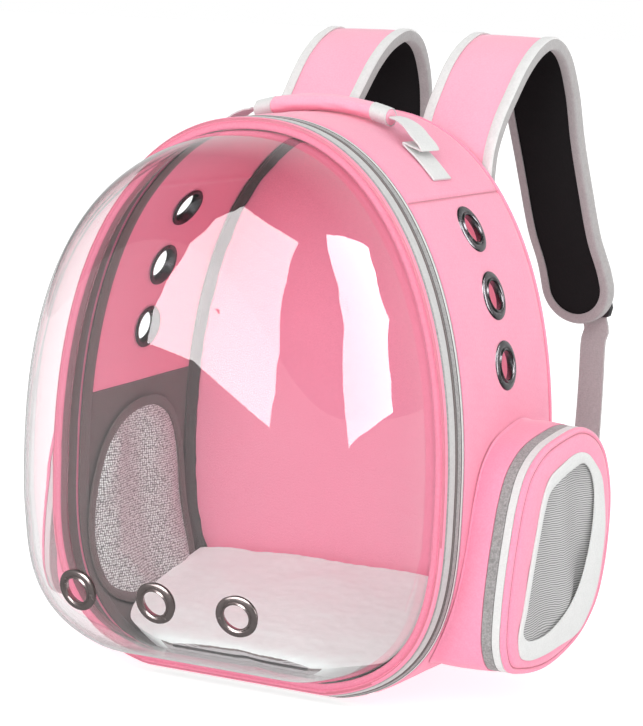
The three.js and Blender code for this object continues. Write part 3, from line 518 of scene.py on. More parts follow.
def ribbedMaterial(name, thread, gap, spacing):  # fine knitted rows that wander a little
    material, tree, shader = blank(name)
    place = addNode(tree, "ShaderNodeTexCoord")
    rows = addNode(tree, "ShaderNodeTexWave", bands_direction="Z")
    rows.inputs["Scale"].default_value = math.tau / 20 / (spacing * mm)
    rows.inputs["Distortion"].default_value = 3.2
    rows.inputs["Detail"].default_value = 1
    rows.inputs["Detail Scale"].default_value = 0.7
    tree.links.new(place.outputs["Object"], rows.inputs["Vector"])
    ramp = addNode(tree, "ShaderNodeValToRGB")
    ramp.color_ramp.elements[0].position = 0.1
    ramp.color_ramp.elements[0].color = (*gap, 1)
    ramp.color_ramp.elements[1].position = 0.9
    ramp.color_ramp.elements[1].color = (*thread, 1)
    tree.links.new(rows.outputs["Fac"], ramp.inputs["Fac"])
    tree.links.new(ramp.outputs["Color"], shader.inputs["Base Color"])
    shader.inputs["Roughness"].default_value = 0.7
    return material


def metalMaterial(name, dark, light, metallic):
    material, tree, shader = blank(name)
    place = addNode(tree, "ShaderNodeTexCoord")
    scuffs = addNode(tree, "ShaderNodeTexNoise")
    scuffs.inputs["Scale"].default_value = 240
    scuffs.inputs["Detail"].default_value = 5
    tree.links.new(place.outputs["Object"], scuffs.inputs["Vector"])
    ramp = addNode(tree, "ShaderNodeValToRGB")
    ramp.color_ramp.elements[0].color = (*dark, 1)
    ramp.color_ramp.elements[1].color = (*light, 1)
    tree.links.new(scuffs.outputs["Fac"], ramp.inputs["Fac"])
    tree.links.new(ramp.outputs["Color"], shader.inputs["Base Color"])
    dull = addNode(tree, "ShaderNodeMapRange")
    dull.inputs["To Min"].default_value = 0.18
    dull.inputs["To Max"].default_value = 0.32
    tree.links.new(scuffs.outputs["Fac"], dull.inputs["Value"])
    tree.links.new(dull.outputs["Result"], shader.inputs["Roughness"])
    shader.inputs["Metallic"].default_value = metallic
    return material


def plasticMaterial():
    material, tree, shader = blank("blackPlastic")
    place = addNode(tree, "ShaderNodeTexCoord")
    grain = addNode(tree, "ShaderNodeTexNoise")
    grain.inputs["Scale"].default_value = 1400
    tree.links.new(place.outputs["Object"], grain.inputs["Vector"])
    raised = addNode(tree, "ShaderNodeBump")
    raised.inputs["Strength"].default_value = 0.2
    raised.inputs["Distance"].default_value = 0.0002
    tree.links.new(grain.outputs["Fac"], raised.inputs["Height"])
    tree.links.new(raised.outputs["Normal"], shader.inputs["Normal"])
    ramp = addNode(tree, "ShaderNodeValToRGB")
    ramp.color_ramp.elements[0].color = (0.012, 0.012, 0.014, 1)
    ramp.color_ramp.elements[1].color = (0.025, 0.025, 0.028, 1)
    tree.links.new(grain.outputs["Fac"], ramp.inputs["Fac"])
    tree.links.new(ramp.outputs["Color"], shader.inputs["Base Color"])
    shader.inputs["Roughness"].default_value = 0.42
    return material


def clearMaterial():  # light reaches the cabin straight through the bubble, what is seen bends in it
    material, tree, shader = blank("clearPlastic")
    place = addNode(tree, "ShaderNodeTexCoord")
    haze = addNode(tree, "ShaderNodeTexNoise")
    haze.inputs["Scale"].default_value = 18
    haze.inputs["Detail"].default_value = 3
    tree.links.new(place.outputs["Object"], haze.inputs["Vector"])
    dull = addNode(tree, "ShaderNodeMapRange")
    dull.inputs["To Min"].default_value = 0.0
    dull.inputs["To Max"].default_value = 0.008
    tree.links.new(haze.outputs["Fac"], dull.inputs["Value"])
    tree.links.new(dull.outputs["Result"], shader.inputs["Roughness"])
    shader.inputs["Base Color"].default_value = (0.995, 0.995, 0.998, 1)
    shader.inputs["IOR"].default_value = 1.46
    shader.inputs["Transmission Weight"].default_value = 1
    rays = addNode(tree, "ShaderNodeLightPath")
    either = addNode(tree, "ShaderNodeMath", operation="MAXIMUM")
    tree.links.new(rays.outputs["Is Shadow Ray"], either.inputs[0])
    tree.links.new(rays.outputs["Is Diffuse Ray"], either.inputs[1])
    through = addNode(tree, "ShaderNodeBsdfTransparent")
    through.inputs["Color"].default_value = (0.98, 0.98, 0.98, 1)
    blend = addNode(tree, "ShaderNodeMixShader")
    tree.links.new(either.outputs[0], blend.inputs["Fac"])
    tree.links.new(shader.outputs[0], blend.inputs[1])
    tree.links.new(through.outputs[0], blend.inputs[2])
    tree.links.new(blend.outputs[0], tree.nodes["Material Output"].inputs["Surface"])
    return material


creamPlush = plushMaterial()
cabinNetting = meshMaterial("cabinNetting", (0.84, 0.90, 0.88), (0.10, 0.105, 0.105), (0, 1, 1), 560)
pocketNetting = ribbedMaterial("pocketNetting", (0.52, 0.52, 0.515), (0.17, 0.17, 0.17), 1.6)
# the side and front eyelets are the same metal: painted reflection, with the side ones darker and the front
# ones lighter for the surroundings they mirror
gunmetal = metalMaterial("gunmetal", (0.05, 0.05, 0.054), (0.115, 0.11, 0.115), 1)
frontEyeletLitMetal = metalMaterial("frontEyeletLitMetal", (0.19, 0.16, 0.155), (0.28, 0.24, 0.235), 0.7)
blackPlastic = plasticMaterial()
clearPlastic = clearMaterial()
print("finishes mixed")

# Side eyelets: their places share out the wall between the pocket's top and the cross seam
eyelets = {
    "hole": 9.9, "rim": 16.6, "cut": 12.6, "lip": 2.3, "sides": 56, "pocketTop": 195,
    "sideSize": 1.06, "frontSize": 0.9, "sheet": 3.4, "sidePunch": 40, "frontPunch": 24,
    "shares": [0.862, 0.571, 0.262], "depth": (body["wallFront"] + body["back"]) / 2, "bedding": 0.5,
    "frontHeight": 83, "frontSpacing": 62, "frontReach": 8, "frontBedding": 0.6,
}


def sideSeat(part):
    top = outline(crossSeam, 0)[1]
    share = shareAtHeight(eyelets["pocketTop"] + (top - eyelets["pocketTop"]) * part, 0)
    y = eyelets["depth"]
    nx, nz = outlineNormal(share, y)
    step = 20
    taper = (outline(share, y + step)[0] - outline(share, y - step)[0]) / (2 * step)
    outward = Vector((nx, -taper * nx, nz)).normalized()
    return skin(share, y, eyelets["bedding"]), outward


def turnedTo(outward):
    return outward.to_track_quat("Z", "Y").to_matrix().to_4x4()


def punchAt(place, outward, radius, depth):
    deselectAll()
    bpy.ops.mesh.primitive_cylinder_add(vertices=eyelets["sides"], radius=radius * mm, depth=depth * mm)
    tool = bpy.context.object
    tool.data.transform(Matrix.Translation(place) @ turnedTo(outward))
    return tool


def spinWasher():  # flat with a rolled lip, its section spun about its axis
    sheet, rim, hole = eyelets["sheet"], eyelets["rim"], eyelets["hole"]
    profile = [
        (12.2, -sheet - 0.7), (13.0, -sheet - 1.2), (14.6, -sheet - 0.9), (15.2, -sheet - 0.1),
        (13.3, -sheet), (12.7, -sheet + 0.3), (11.6, -0.3), (12.6, 0), (16.2, 0), (rim, 0.3), (16.4, 0.8),
        (15.6, 1.2), (13.6, 1.6), (12.2, 1.6), (11.8, 1.3), (11.5, 1.7), (11.0, eyelets["lip"]), (10.4, 2.2),
        (hole, 1.5), (hole, 0.4), (11.0, -1.4),
    ]
    deselectAll()
    bpy.ops.mesh.primitive_circle_add(vertices=len(profile), radius=0.01, fill_type="NOTHING")
    washer = bpy.context.object
    for vertex, (r, h) in zip(washer.data.vertices, profile):
        vertex.co = (r * mm, 0, h * mm)
    bpy.ops.object.mode_set(mode="EDIT")
    bpy.ops.mesh.select_all(action="SELECT")
    bpy.ops.mesh.spin(steps=eyelets["sides"], angle=math.tau, center=(0, 0, 0), axis=(0, 0, 1))
    bpy.ops.mesh.select_all(action="SELECT")
    bpy.ops.mesh.remove_doubles(threshold=1e-6)
    bpy.ops.mesh.normals_make_consistent(inside=False)
    bpy.ops.object.mode_set(mode="OBJECT")
    return washer


washer = spinWasher()


def setEyelet(name, place, outward, size, metal):  # a copy of the washer, made wider or narrower
    eyelet = washer.copy()
    eyelet.data = washer.data.copy()
    eyelet.name = eyelet.data.name = name
    bpy.context.scene.collection.objects.link(eyelet)
    eyelet.data.transform(Matrix.Translation(place) @ turnedTo(outward) @ Matrix.Diagonal((size, size, 1, 1)))
    return finishPiece(eyelet, [name], "gunmetal", metal, smooth=50)


def mirrored(vector, side):  # the same place or direction on the right (1) or the left (-1)
    return Vector((side * vector.x, vector.y, vector.z))


# Mesh window in the side wall, seen from the side: depth and height in millimetres
windowRows = [
    (0.14, 1.0), (-0.14, 0.955), (-0.32, 0.82), (-0.42, 0.64), (-0.475, 0.46), (-0.5, 0.27), (-0.46, 0.09),
    (-0.28, 0.01), (0.06, 0.0), (0.37, 0.03), (0.485, 0.18), (0.495, 0.45), (0.46, 0.72), (0.34, 0.92),
]
window = {
    "width": 137, "height": 154, "middle": 11, "sill": 28, "binding": 8, "steps": 96,
    "near": 80, "far": 180,  # the plug's reach along X
}


def insetLine(points, inset):
    area = sum(a.x * b.y - b.x * a.y for a, b in zip(points, points[1:] + points[:1]))
    turn = math.copysign(1, area)
    moved = []
    for i, p in enumerate(points):
        along = (points[(i + 1) % len(points)] - points[i - 1]).normalized()
        moved.append(Vector((p.x - along.y * inset * turn, p.y + along.x * inset * turn)))
    return moved


windowKnots = [Vector((window["middle"] + across * window["width"], window["sill"] + up * window["height"]))
               for across, up in windowRows]
windowOuter = smoothLoop(windowKnots, window["steps"])
windowOpening = insetLine(windowOuter, window["binding"])


def windowPlug(side):  # a straight plug along X over the opening
    ends = (window["near"], window["far"])
    loops = [[Vector((side * x, p.x, p.y)) * mm for p in windowOpening] for x in ends]
    return growLoops("plug", loops, caps=True)


# Cloth walls: one band is grown from front to back, parted at its seams and given its thickness
walls = {
    "stations": [-62.7, -62.3, -60.8, -56, -44, -30, -16, -2, 12, 26, 40, 54, 68, 78, 84, 88, 89.6, 90.1],
    "insets": [1.7, 0.7, 0.15, 0, 0, 0, 0, 0, 0, 0, 0, 0, 0, 0, 0.1, 0.5, 1.4, 2.6],
    "seamDip": 1.1, "seamReach": 4.5, "seamSteps": (-4.5, -3, -1.5, -0.6, 0, 0.6, 1.5, 3, 4.5),
    "puff": 0.7, "puffFade": 14, "closest": 0.5, "cloth": 0.9, "floorTop": 30,
    "thread": 0.00025, "threadFrom": -62.2, "threadLength": 150.6, "threadSteps": 40,
}
seams = (crossSeam, 1 - crossSeam, bottomSeam, 1 - bottomSeam)


def wallShares():
    shares = set(evenShares(176))
    for seam in (crossSeam, bottomSeam):
        for step in walls["seamSteps"]:
            away = step / (2 * halfWay)
            shares |= {seam + away, 1 - seam - away}
    kept = []
    for share in sorted(shares):
        if kept and (share - kept[-1]) * 2 * halfWay < walls["closest"]:
            if share in seams:
                kept[-1] = share
            continue
        kept.append(share)
    return kept


def seamDip(share):
    dip = 0
    for seam in seams:
        away = abs(share - seam) * 2 * halfWay
        dip = max(dip, walls["seamDip"] * max(0, 1 - away / walls["seamReach"]) ** 1.6)
    return dip


def wallPoint(share, y, inset):
    flat = skin(share, y, 0)
    low = min(1, flat.z / (12 * mm))
    puff = (noise.noise(flat * 22) * 1.0 + noise.noise(flat * 60) * 0.35) * walls["puff"] * low
    ends = walls["stations"]
    edge = min(1, (y - ends[0]) / walls["puffFade"], (ends[-1] - y) / walls["puffFade"])
    return skin(share, y, inset + seamDip(share) - puff * edge)


def makeWalls():
    shares = wallShares()
    loops = [[wallPoint(share, y, inset) for share in shares]
             for y, inset in zip(walls["stations"], walls["insets"])]
    band = growLoops("walls", loops)
    panels = {}
    for name, belongs in {
        "top_panel": lambda c: c.z > body["widest"] * mm and abs(c.x) < body["crossSeam"] * mm,
        "bottom_panel": lambda c: c.z < 0.02 and abs(c.x) < body["bottomSeam"] * mm,
        "side_wall_right": lambda c: c.x > 0,
    }.items():
        takeUp(band)
        bpy.ops.object.mode_set(mode="EDIT")
        bpy.ops.mesh.select_mode(type="FACE")
        bpy.ops.mesh.select_all(action="DESELECT")
        edit = bmesh.from_edit_mesh(band.data)
        for face in edit.faces:
            face.select_set(belongs(face.calc_center_median()))
        bmesh.update_edit_mesh(band.data)
        bpy.ops.mesh.separate(type="SELECTED")
        bpy.ops.mesh.select_mode(type="VERT")
        bpy.ops.object.mode_set(mode="OBJECT")
        part = [o for o in bpy.context.selected_objects if o != band][0]
        part.name = part.data.name = name.replace("_", "") + "Cloth"
        panels[name] = part
    panels["side_wall_left"] = band
    band.name = band.data.name = "sidewallleftCloth"
    for name, panel in panels.items():
        panel.data.materials.append(pinkCloth)
        panel.data.materials.append(pinkInside)
        thickness = body["wall"] * mm * walls["cloth"]
        applied(panel, "SOLIDIFY", thickness=thickness, offset=-1, material_offset=1, use_rim=True)
        if name.startswith("side_wall"):
            side = 1 if name.endswith("right") else -1
            tools = []
            for part in eyelets["shares"]:
                place, outward = sideSeat(part)
                tools.append(punchAt(mirrored(place, side), mirrored(outward, side),
                                     eyelets["cut"] * eyelets["sideSize"], eyelets["sidePunch"]))
            tools.append(windowPlug(side))
            cutAway(panel, tools)
        panel.data.materials.append(floorCloth)
        for polygon in panel.data.polygons:  # the cabin floor is grey
            if polygon.material_index == 1 and polygon.center.z < walls["floorTop"] * mm:
                polygon.material_index = 2
        finishPiece(panel, [name], "pink_fabric", smooth=35)


makeWalls()
for index, part in enumerate(eyelets["shares"]):
    place, outward = sideSeat(part)
    for word, side in (("right", 1), ("left", -1)):
        setEyelet(f"side_eyelet_{word}_{index + 1}", mirrored(place, side), mirrored(outward, side),
                  eyelets["sideSize"], gunmetal)

threadSection = ((-1, 0.2), (-1, -0.1), (1, -0.1), (1, 0.2))  # side of the seam, and inset
threadLoops = []
for i in range(walls["threadSteps"] + 1):
    y = walls["threadFrom"] + walls["threadLength"] * i / walls["threadSteps"]
    threadLoops.append([skin(crossSeam + side * walls["thread"], y, inset) for side, inset in threadSection])
seamThread = growLoops("crossSeamThread", threadLoops, caps=True)
finishPair(seamThread, "crossSeamThread", [], "pink_fabric", threadPink)
print("cloth walls and side eyelets sewn")

# Back panel: a slightly padded slab whose rim is rolled over
backPanel = {
    "rim": [(90.35, 2.2), (90.5, 0.9), (91.2, 0.1), (92.4, 0.0), (93.4, 0.9), (93.9, 2.6), (94.1, 6),
            (94.3, 12)],
    "inner": [(90.35, 0.8), (90.35, 0.55), (90.35, 0.3), (90.35, 0.12)],  # depth, share of the way in
    "outer": [(94.6, 0.12), (95.0, 0.28), (95.3, 0.5), (95.5, 0.8)],
    "middle": 195, "drawn": 2, "innerFace": 90.45,
}
shares = evenShares(160)


def drawnIn(y, part):
    middle = Vector((0, y, backPanel["middle"])) * mm
    loop = []
    for share in shares:
        place = skin(share, body["back"], backPanel["drawn"]).lerp(middle, part)
        loop.append(Vector((place.x, y * mm, place.z)))
    return loop


loops = [drawnIn(y, part) for y, part in backPanel["inner"]]
for y, inset in backPanel["rim"]:
    edge = [skin(share, body["back"], inset) for share in shares]
    loops.append([Vector((p.x, y * mm, p.z)) for p in edge])
loops += [drawnIn(y, part) for y, part in backPanel["outer"]]
back = growLoops("backPanelCloth", loops, caps=True)
back.data.materials.append(pinkCloth)
back.data.materials.append(pinkInside)
for polygon in back.data.polygons:
    polygon.material_index = 1 if polygon.center.y < backPanel["innerFace"] * mm else 0
finishPiece(back, ["back_panel"], "pink_fabric", smooth=45)

# Door ring, zip tapes and teeth
door = {
    "ring": [(-90.1, 0.75), (-91.0, 0.45), (-92.3, 0.5), (-93.4, 1.1), (-94.1, 2.1), (-94.2, 2.9), (-93.9, 3.5),
             (-93.6, 3.9), (-94.1, 4.3), (-94.8, 5.1), (-95.2, 6.2), (-95.1, 7.3), (-94.5, 8.2), (-93.4, 8.6),
             (-90.4, 8.65), (-88, 8.65), (-86.2, 8.6), (-86.4, 7.0), (-88.6, 4.2), (-89.8, 2.4)],
    "tapeFront": [(-90, 0.9), (-89.6, 0.7), (-88.4, 0.75), (-87.8, 0.5), (-84, 0.4), (-79.4, 0.45),
                  (-78.5, 0.6), (-78, 0.9), (-78, 2.0), (-78.4, 2.2), (-84, 2.1), (-89.6, 2.2), (-90, 2.0)],
    "tapeRear": [(-75, 0.9), (-74.6, 0.65), (-74.1, 0.55), (-71.2, 0.45), (-68.6, 0.55), (-68.2, 0.8),
                 (-67.8, 0.35), (-66.4, 0.2), (-65.2, 0.4), (-64.8, 0.8), (-63.9, 0.7), (-63.4, 0.8),
                 (-63, 1.0), (-63, 2.0), (-63.4, 2.2), (-69, 2.1), (-74.6, 2.2), (-75, 2.0)],
    "stripes": [(-75.1, -74.1, 2), (-68.6, -67.8, 2), (-67.8, -65.2, 3), (-65.2, -64.8, 2),
                (-63.6, -62.9, 2)],
    "teeth": [(-77.7, 1.1), (-77.2, 0.5), (-76.5, 0.3), (-75.8, 0.5), (-75.3, 1.1), (-75.3, 1.9),
              (-76.5, 2.2), (-77.7, 1.9)],
    "lineDepth": -92, "groove": (3.4, 4.3), "grooveDepth": -93.4, "shadedHalfDepth": -91, "shadowLineEdge": -88.0,
    "middle": 0.19,
}
ringShares = evenShares(192)
ring = bandAround("doorRingCloth", door["ring"], ringShares)
ringLine = [skin(share, door["lineDepth"], 0).xz for share in ringShares]


def shadeInside(piece, front):  # painted shade: the faces that look into the shaded cabin get the piece's second, darker material
    for polygon in piece.data.polygons:
        inward = Vector((-polygon.center.x, 0, door["middle"] - polygon.center.z)).normalized()
        if polygon.center.y > front * mm and polygon.normal.dot(inward) > 0.5:
            polygon.material_index = 1


finishPiece(ring, ["front_ring"], "pink_fabric", ringCloth, darkLiningAndShade, threadPink, ringPaintedShade, smooth=50)
for polygon in ring.data.polygons:  # a dark sewn groove, and painted shade: a darker pink on the inner half
    inset = min((place - polygon.center.xz).length for place in ringLine) / mm
    if door["groove"][0] < inset < door["groove"][1] and polygon.center.y < door["grooveDepth"] * mm:
        polygon.material_index = 2
    elif inset > door["groove"][1] and polygon.center.y < door["shadedHalfDepth"] * mm:
        polygon.material_index = 3
shadeInside(ring, door["grooveDepth"])

tapeFront = bandAround("zipTapeFrontCloth", door["tapeFront"], ringShares)
finishPiece(tapeFront, ["zip_tape_front"], "light_tape", zipTape, greyTape)
# painted shadow: a darker line along the tape's front edge, and darker inner faces
for polygon in tapeFront.data.polygons:
    if polygon.center.y < door["shadowLineEdge"] * mm:
        polygon.material_index = 1
shadeInside(tapeFront, door["tapeFront"][0][0])

tapeRear = bandAround("zipTapeRearCloth", door["tapeRear"], ringShares)
finishPiece(tapeRear, ["zip_tape_rear"], "grey_tape", greyTape, darkLiningAndShade, darkBindingAndGapShade, paleTape)
for polygon in tapeRear.data.polygons:  # the tape's pale cord, and painted shade as dark lines in the gaps and grooves beside the cords
    for low, high, index in door["stripes"]:
        if low * mm < polygon.center.y < high * mm:
            polygon.material_index = index
shadeInside(tapeRear, door["tapeRear"][0][0])

zipTeeth = bandAround("zipTeethCoil", door["teeth"], ringShares)
finishPiece(zipTeeth, ["zip_teeth"], "grey_tape", darkLiningAndShade)
print("door ring and zip closed")

# Clear bubble
bubble = {
    "depth": 117, "power": 1.34, "edgePower": 6.2, "sillPower": 11.4, "sillHeight": 93, "sillFade": 1.5,
    "centre": 279, "wall": 1.0, "rim": 8.95, "rimDepths": (-85, -87.5), "crownDepth": -150,
    "shrinks": [1, 0.9993, 0.997, 0.992, 0.984, 0.972, 0.955, 0.935, 0.91, 0.88, 0.845, 0.805, 0.76, 0.71,
                0.655, 0.59, 0.52, 0.44, 0.36, 0.27, 0.18, 0.09],
}
bubbleEdge = body["front"] - body["ringBulge"]


def bubblePoint(share, shrink):
    edge = skin(share, bubbleEdge, bubble["rim"])
    low = min(max(1 - edge.z / (bubble["sillHeight"] * mm), 0), 1) ** bubble["sillFade"]
    power = bubble["edgePower"] + (bubble["sillPower"] - bubble["edgePower"]) * low
    depth = body["front"] - bubble["depth"] * (1 - shrink ** power) ** (1 / bubble["power"])
    centre = bubble["centre"] * mm
    return Vector((edge.x * shrink, depth * mm, centre + (edge.z - centre) * shrink))


def bubbleSeat(x, height, reach):  # where a line along Y meets the bubble, and the way it faces there
    hits = []
    for dx, dz in ((0, 0), (reach, 0), (-reach, 0), (0, reach), (0, -reach)):
        start = Vector((x + dx, -400, height + dz)) * mm
        hits.append(dome.ray_cast(start, Vector((0, 1, 0)))[1])
    outward = (hits[1] - hits[2]).cross(hits[3] - hits[4]).normalized()
    return hits[0], outward


domeShares = evenShares(144)
rimLine = [skin(share, bubbleEdge, bubble["rim"]) for share in domeShares]
loops = [[Vector((p.x, y * mm, p.z)) for p in rimLine] for y in bubble["rimDepths"]]
loops += [[bubblePoint(share, shrink) for share in domeShares] for shrink in bubble["shrinks"]]
dome = growLoops("bubble", loops)
takeUp(dome)
bpy.ops.object.mode_set(mode="EDIT")
bpy.ops.mesh.select_all(action="DESELECT")
edit = bmesh.from_edit_mesh(dome.data)
for vertex in edit.verts:
    vertex.select_set(vertex.is_boundary and vertex.co.y < bubble["crownDepth"] * mm)
bmesh.update_edit_mesh(dome.data)
bpy.ops.mesh.edge_face_add()
bpy.ops.mesh.poke()
bpy.ops.mesh.select_all(action="SELECT")
bpy.ops.mesh.normals_make_consistent(inside=False)
bpy.ops.object.mode_set(mode="OBJECT")
frontSeats = [bubbleSeat(side * eyelets["frontSpacing"], eyelets["frontHeight"], eyelets["frontReach"])
              for side in (-1, 0, 1)]
applied(dome, "SUBSURF", levels=1, render_levels=1)
applied(dome, "SOLIDIFY", thickness=bubble["wall"] * mm, offset=-1)
frontCut = eyelets["cut"] * eyelets["frontSize"]
cutAway(dome, [punchAt(place, outward, frontCut, eyelets["frontPunch"]) for place, outward in frontSeats])
finishPiece(dome, ["dome"], "clear_plastic", clearPlastic, smooth=60)
for index, (place, outward) in enumerate(frontSeats):
    bedded = place - outward * eyelets["frontBedding"] * mm
    setEyelet(f"front_eyelet_{index + 1}", bedded, outward, eyelets["frontSize"], frontEyeletLitMetal)
bpy.data.objects.remove(washer)
print("bubble blown and its eyelets set")

# Lining, bindings and the mesh window, on the inside of the walls
lining = {"inset": 3.3, "thickness": 1.2, "top": 191, "rise": 7, "from": -49.4, "to": 81.9}
bindings = {
    "front": [(-62.6, 3.6), (-62.2, 3.3), (-56, 3.3), (-50.2, 3.3), (-49.8, 3.6), (-49.8, 4.2), (-50.4, 4.6),
              (-56, 4.7), (-62.2, 4.6), (-62.6, 4.2)],
    "back": [(81.2, 3.6), (81.6, 3.3), (86, 3.2), (89.3, 3.3), (89.9, 3.7), (90.0, 7.6), (89.6, 9.2),
             (88.4, 9.4), (87.0, 8.2), (85.0, 5.6), (81.4, 4.6)],
    "loose": 4.5, "waveSize": 60, "wave": 1.3,
}
frontSeam = bandAround("innerFrontBindingCloth", bindings["front"], ringShares)
finishPiece(frontSeam, ["inner_front_binding"], "dark_lining", darkLiningAndShade)


def backBindingPoint(share, y, inset):  # the binding's free edge waves a little
    if inset > bindings["loose"]:
        around = math.tau * share
        inset += ripple((math.cos(around), math.sin(around), inset), bindings["waveSize"], bindings["wave"])
    return skin(share, y, inset)


backSeam = growLoops("innerBackBindingCloth", [
    [backBindingPoint(share, y, inset) for share in ringShares] for y, inset in bindings["back"]
], joined=True)
finishPiece(backSeam, ["inner_back_binding"], "black_lining", darkBindingAndGapShade)


def wallAt(y, z, inset):  # a point on the inside of the right wall, by its depth and height
    return skin(shareAtHeight(z, y), y, inset)


def liningPatch():
    columns, rows = 34, 44
    deselectAll()
    bpy.ops.mesh.primitive_grid_add(x_subdivisions=columns, y_subdivisions=rows, size=0.1)
    patch = bpy.context.object
    patch.name = "innerPanelCloth"
    for i, vertex in enumerate(patch.data.vertices):
        across, up = (i % (columns + 1)) / columns, (i // (columns + 1)) / rows
        y = lining["from"] + (lining["to"] - lining["from"]) * across
        top = shareAtHeight(lining["top"] + lining["rise"] * across, y)
        vertex.co = skin(bottomSeam + (top - bottomSeam) * up, y, lining["inset"])
    applied(patch, "SOLIDIFY", thickness=lining["thickness"] * mm, offset=1)
    return patch


patch = liningPatch()
if patch.data.polygons[0].normal.x > 0:
    patch.data.flip_normals()
cutAway(patch, [windowPlug(1)])
finishPair(patch, "innerPanelCloth", ["inner_panel"], "dark_lining", darkLiningAndShade)

centre = Vector((window["middle"], window["sill"] + window["height"] * 0.47))


def nettingLoops(line, rings, place):  # rings of a line drawn in to its middle
    return [[place(p.lerp(centre, ring / rings), ring / rings) for p in line] for ring in range(rings)]


def innerNetPlace(p, inward):
    y, z = p.x, p.y
    fold = math.sin((y * 0.9 + z * 0.35) * 0.1 + 1.2 * math.sin(z * 0.03))
    sag = min(1, inward * 5) * (3.4 + 3.4 * fold + ripple((0, y * mm, z * mm), 24, 2.6))
    return wallAt(y, z, 4.9 + max(sag, 0) * 0.8)


def closedSheet(name, loops, thickness):
    sheet = growLoops(name, loops)
    takeUp(sheet)
    bpy.ops.object.mode_set(mode="EDIT")
    bpy.ops.mesh.select_all(action="DESELECT")
    edit = bmesh.from_edit_mesh(sheet.data)
    last = {corner(p) for p in loops[-1]}
    for vertex in edit.verts:
        vertex.select_set(corner(vertex.co) in last)
    bmesh.update_edit_mesh(sheet.data)
    bpy.ops.mesh.edge_face_add()
    bpy.ops.mesh.poke()
    bpy.ops.mesh.select_all(action="SELECT")
    bpy.ops.mesh.normals_make_consistent(inside=False)
    bpy.ops.object.mode_set(mode="OBJECT")
    applied(sheet, "SOLIDIFY", thickness=thickness * mm, offset=0)
    return sheet


netting = {"sewnIn": 3, "rings": 16, "thickness": 0.5}
loops = nettingLoops(insetLine(windowOuter, netting["sewnIn"]), netting["rings"], innerNetPlace)
net = closedSheet("innerMeshNetting", loops, netting["thickness"])
finishPair(net, "innerMeshNetting", ["inner_mesh"], "grey_mesh", cabinNetting)
bindingSection = [(0.3, 5.8), (0.0, 6.2), (0.6, 7.0), (3, 7.5), (6, 7.4), (7.8, 6.8), (8.1, 6.1), (7.6, 5.7),
                  (4, 5.6)]
loops = [[wallAt(p.x, p.y, lift) for p in insetLine(windowOuter, inward)] for inward, lift in bindingSection]
rim = growLoops("innerMeshBindingCloth", loops, joined=True)
finishPair(rim, "innerMeshBindingCloth", ["inner_mesh_binding"], "dark_lining", darkLiningAndShade)
print("lining sewn in")

# Plush mat: sections from the door to the back, with a soft crown and a fluffy top
mat = {
    "from": -84.7, "to": 89.4, "front": 21, "back": 55, "crown": 5, "crownPower": 2.6, "crownSink": 1.2,
    "side": 8, "bottom": 4.8, "swell": 1.6, "swellSize": 34, "leftSwell": 0.8, "tuft": 0.7, "tuftSize": 7,
    "waist": 0.55, "corner": 0.5, "cornerPower": 2.4, "borderFrom": -84, "seamShadowFrom": -83.8, "borderTo": -10,
    "edge": [(0, 0.8), (0.008, 0.88), (0.025, 0.96), (0.06, 1), (0.96, 1), (1, 0.85)],
    "sideSteps": 24, "crownSteps": 32,
}


def matSection(depth):
    y = mat["from"] + (mat["to"] - mat["from"]) * depth
    rows = mat["edge"]
    i = max(k for k in range(len(rows) - 1) if rows[k][0] <= depth)
    (d0, t0), (d1, t1) = rows[i], rows[i + 1]
    ease = (depth - d0) / (d1 - d0)
    thick = t0 + (t1 - t0) * math.sin(ease * math.pi / 2)
    top = mat["bottom"] + (mat["front"] + (mat["back"] - mat["front"]) * depth) * thick
    sideShare = shareAtHeight(top - mat["crown"], y)
    right = []
    for i in range(mat["sideSteps"] + 1):
        share = sideShare * i / mat["sideSteps"]
        down = abs(outlineNormal(share, y)[1])
        right.append(skin(share, y, mat["side"] - (mat["side"] - mat["bottom"]) * down ** 12))
    edge = right[-1]
    crown = []
    for i in range(1, mat["crownSteps"] + 1):
        part = 1 - i / mat["crownSteps"]
        z = top + mat["crown"] * (1 - part ** mat["crownPower"]) - mat["crownSink"]
        place = Vector((edge.x * part, y * mm, z * mm))
        swell = mat["swell"] * min(1, 0.3 + depth * 4)
        lift = ripple((place.x, place.y, 0), mat["swellSize"], swell) * mm
        place.z += lift + ripple((place.x, place.y, 0.3), mat["tuftSize"], mat["tuft"]) * mm
        crown.append(place)
    half = right + crown
    part = max(0, 1 - depth / mat["corner"])
    rounded = (1 - part ** mat["cornerPower"]) ** (1 / mat["cornerPower"])
    for place in half:
        place.x *= mat["waist"] + (1 - mat["waist"]) * rounded
    left = [mirrored(place, -1) for place in half[1:-1]]
    for place in left[mat["sideSteps"]:]:
        place.z += ripple((place.x, place.y, 0), mat["swellSize"], mat["leftSwell"]) * mm
    return half + left[::-1]


matDepths = [0, 0.004, 0.008, 0.015, 0.025, 0.04, 0.06] + [0.08 + 0.92 * i / 64 for i in range(65)]
matPiece = growLoops("plushMatPile", [matSection(depth) for depth in matDepths], caps=True)
finishPiece(matPiece, ["plush_mat"], "plush", creamPlush, borderFelt, darkLiningAndShade, smooth=40)
for polygon in matPiece.data.polygons:  # the mat's front border is plain felt, with painted seam shadow as a dark line along its top edge
    y, normal = polygon.center.y / mm, polygon.normal
    if normal.y < -0.95 and y < mat["borderFrom"]:
        polygon.material_index = 1
    elif y < mat["seamShadowFrom"] and abs(normal.x) < 0.5:
        polygon.material_index = 2
    elif y < mat["borderTo"] and normal.z < 0.35 and abs(normal.x) > 0.5:
        polygon.material_index = 1
print("mat laid")

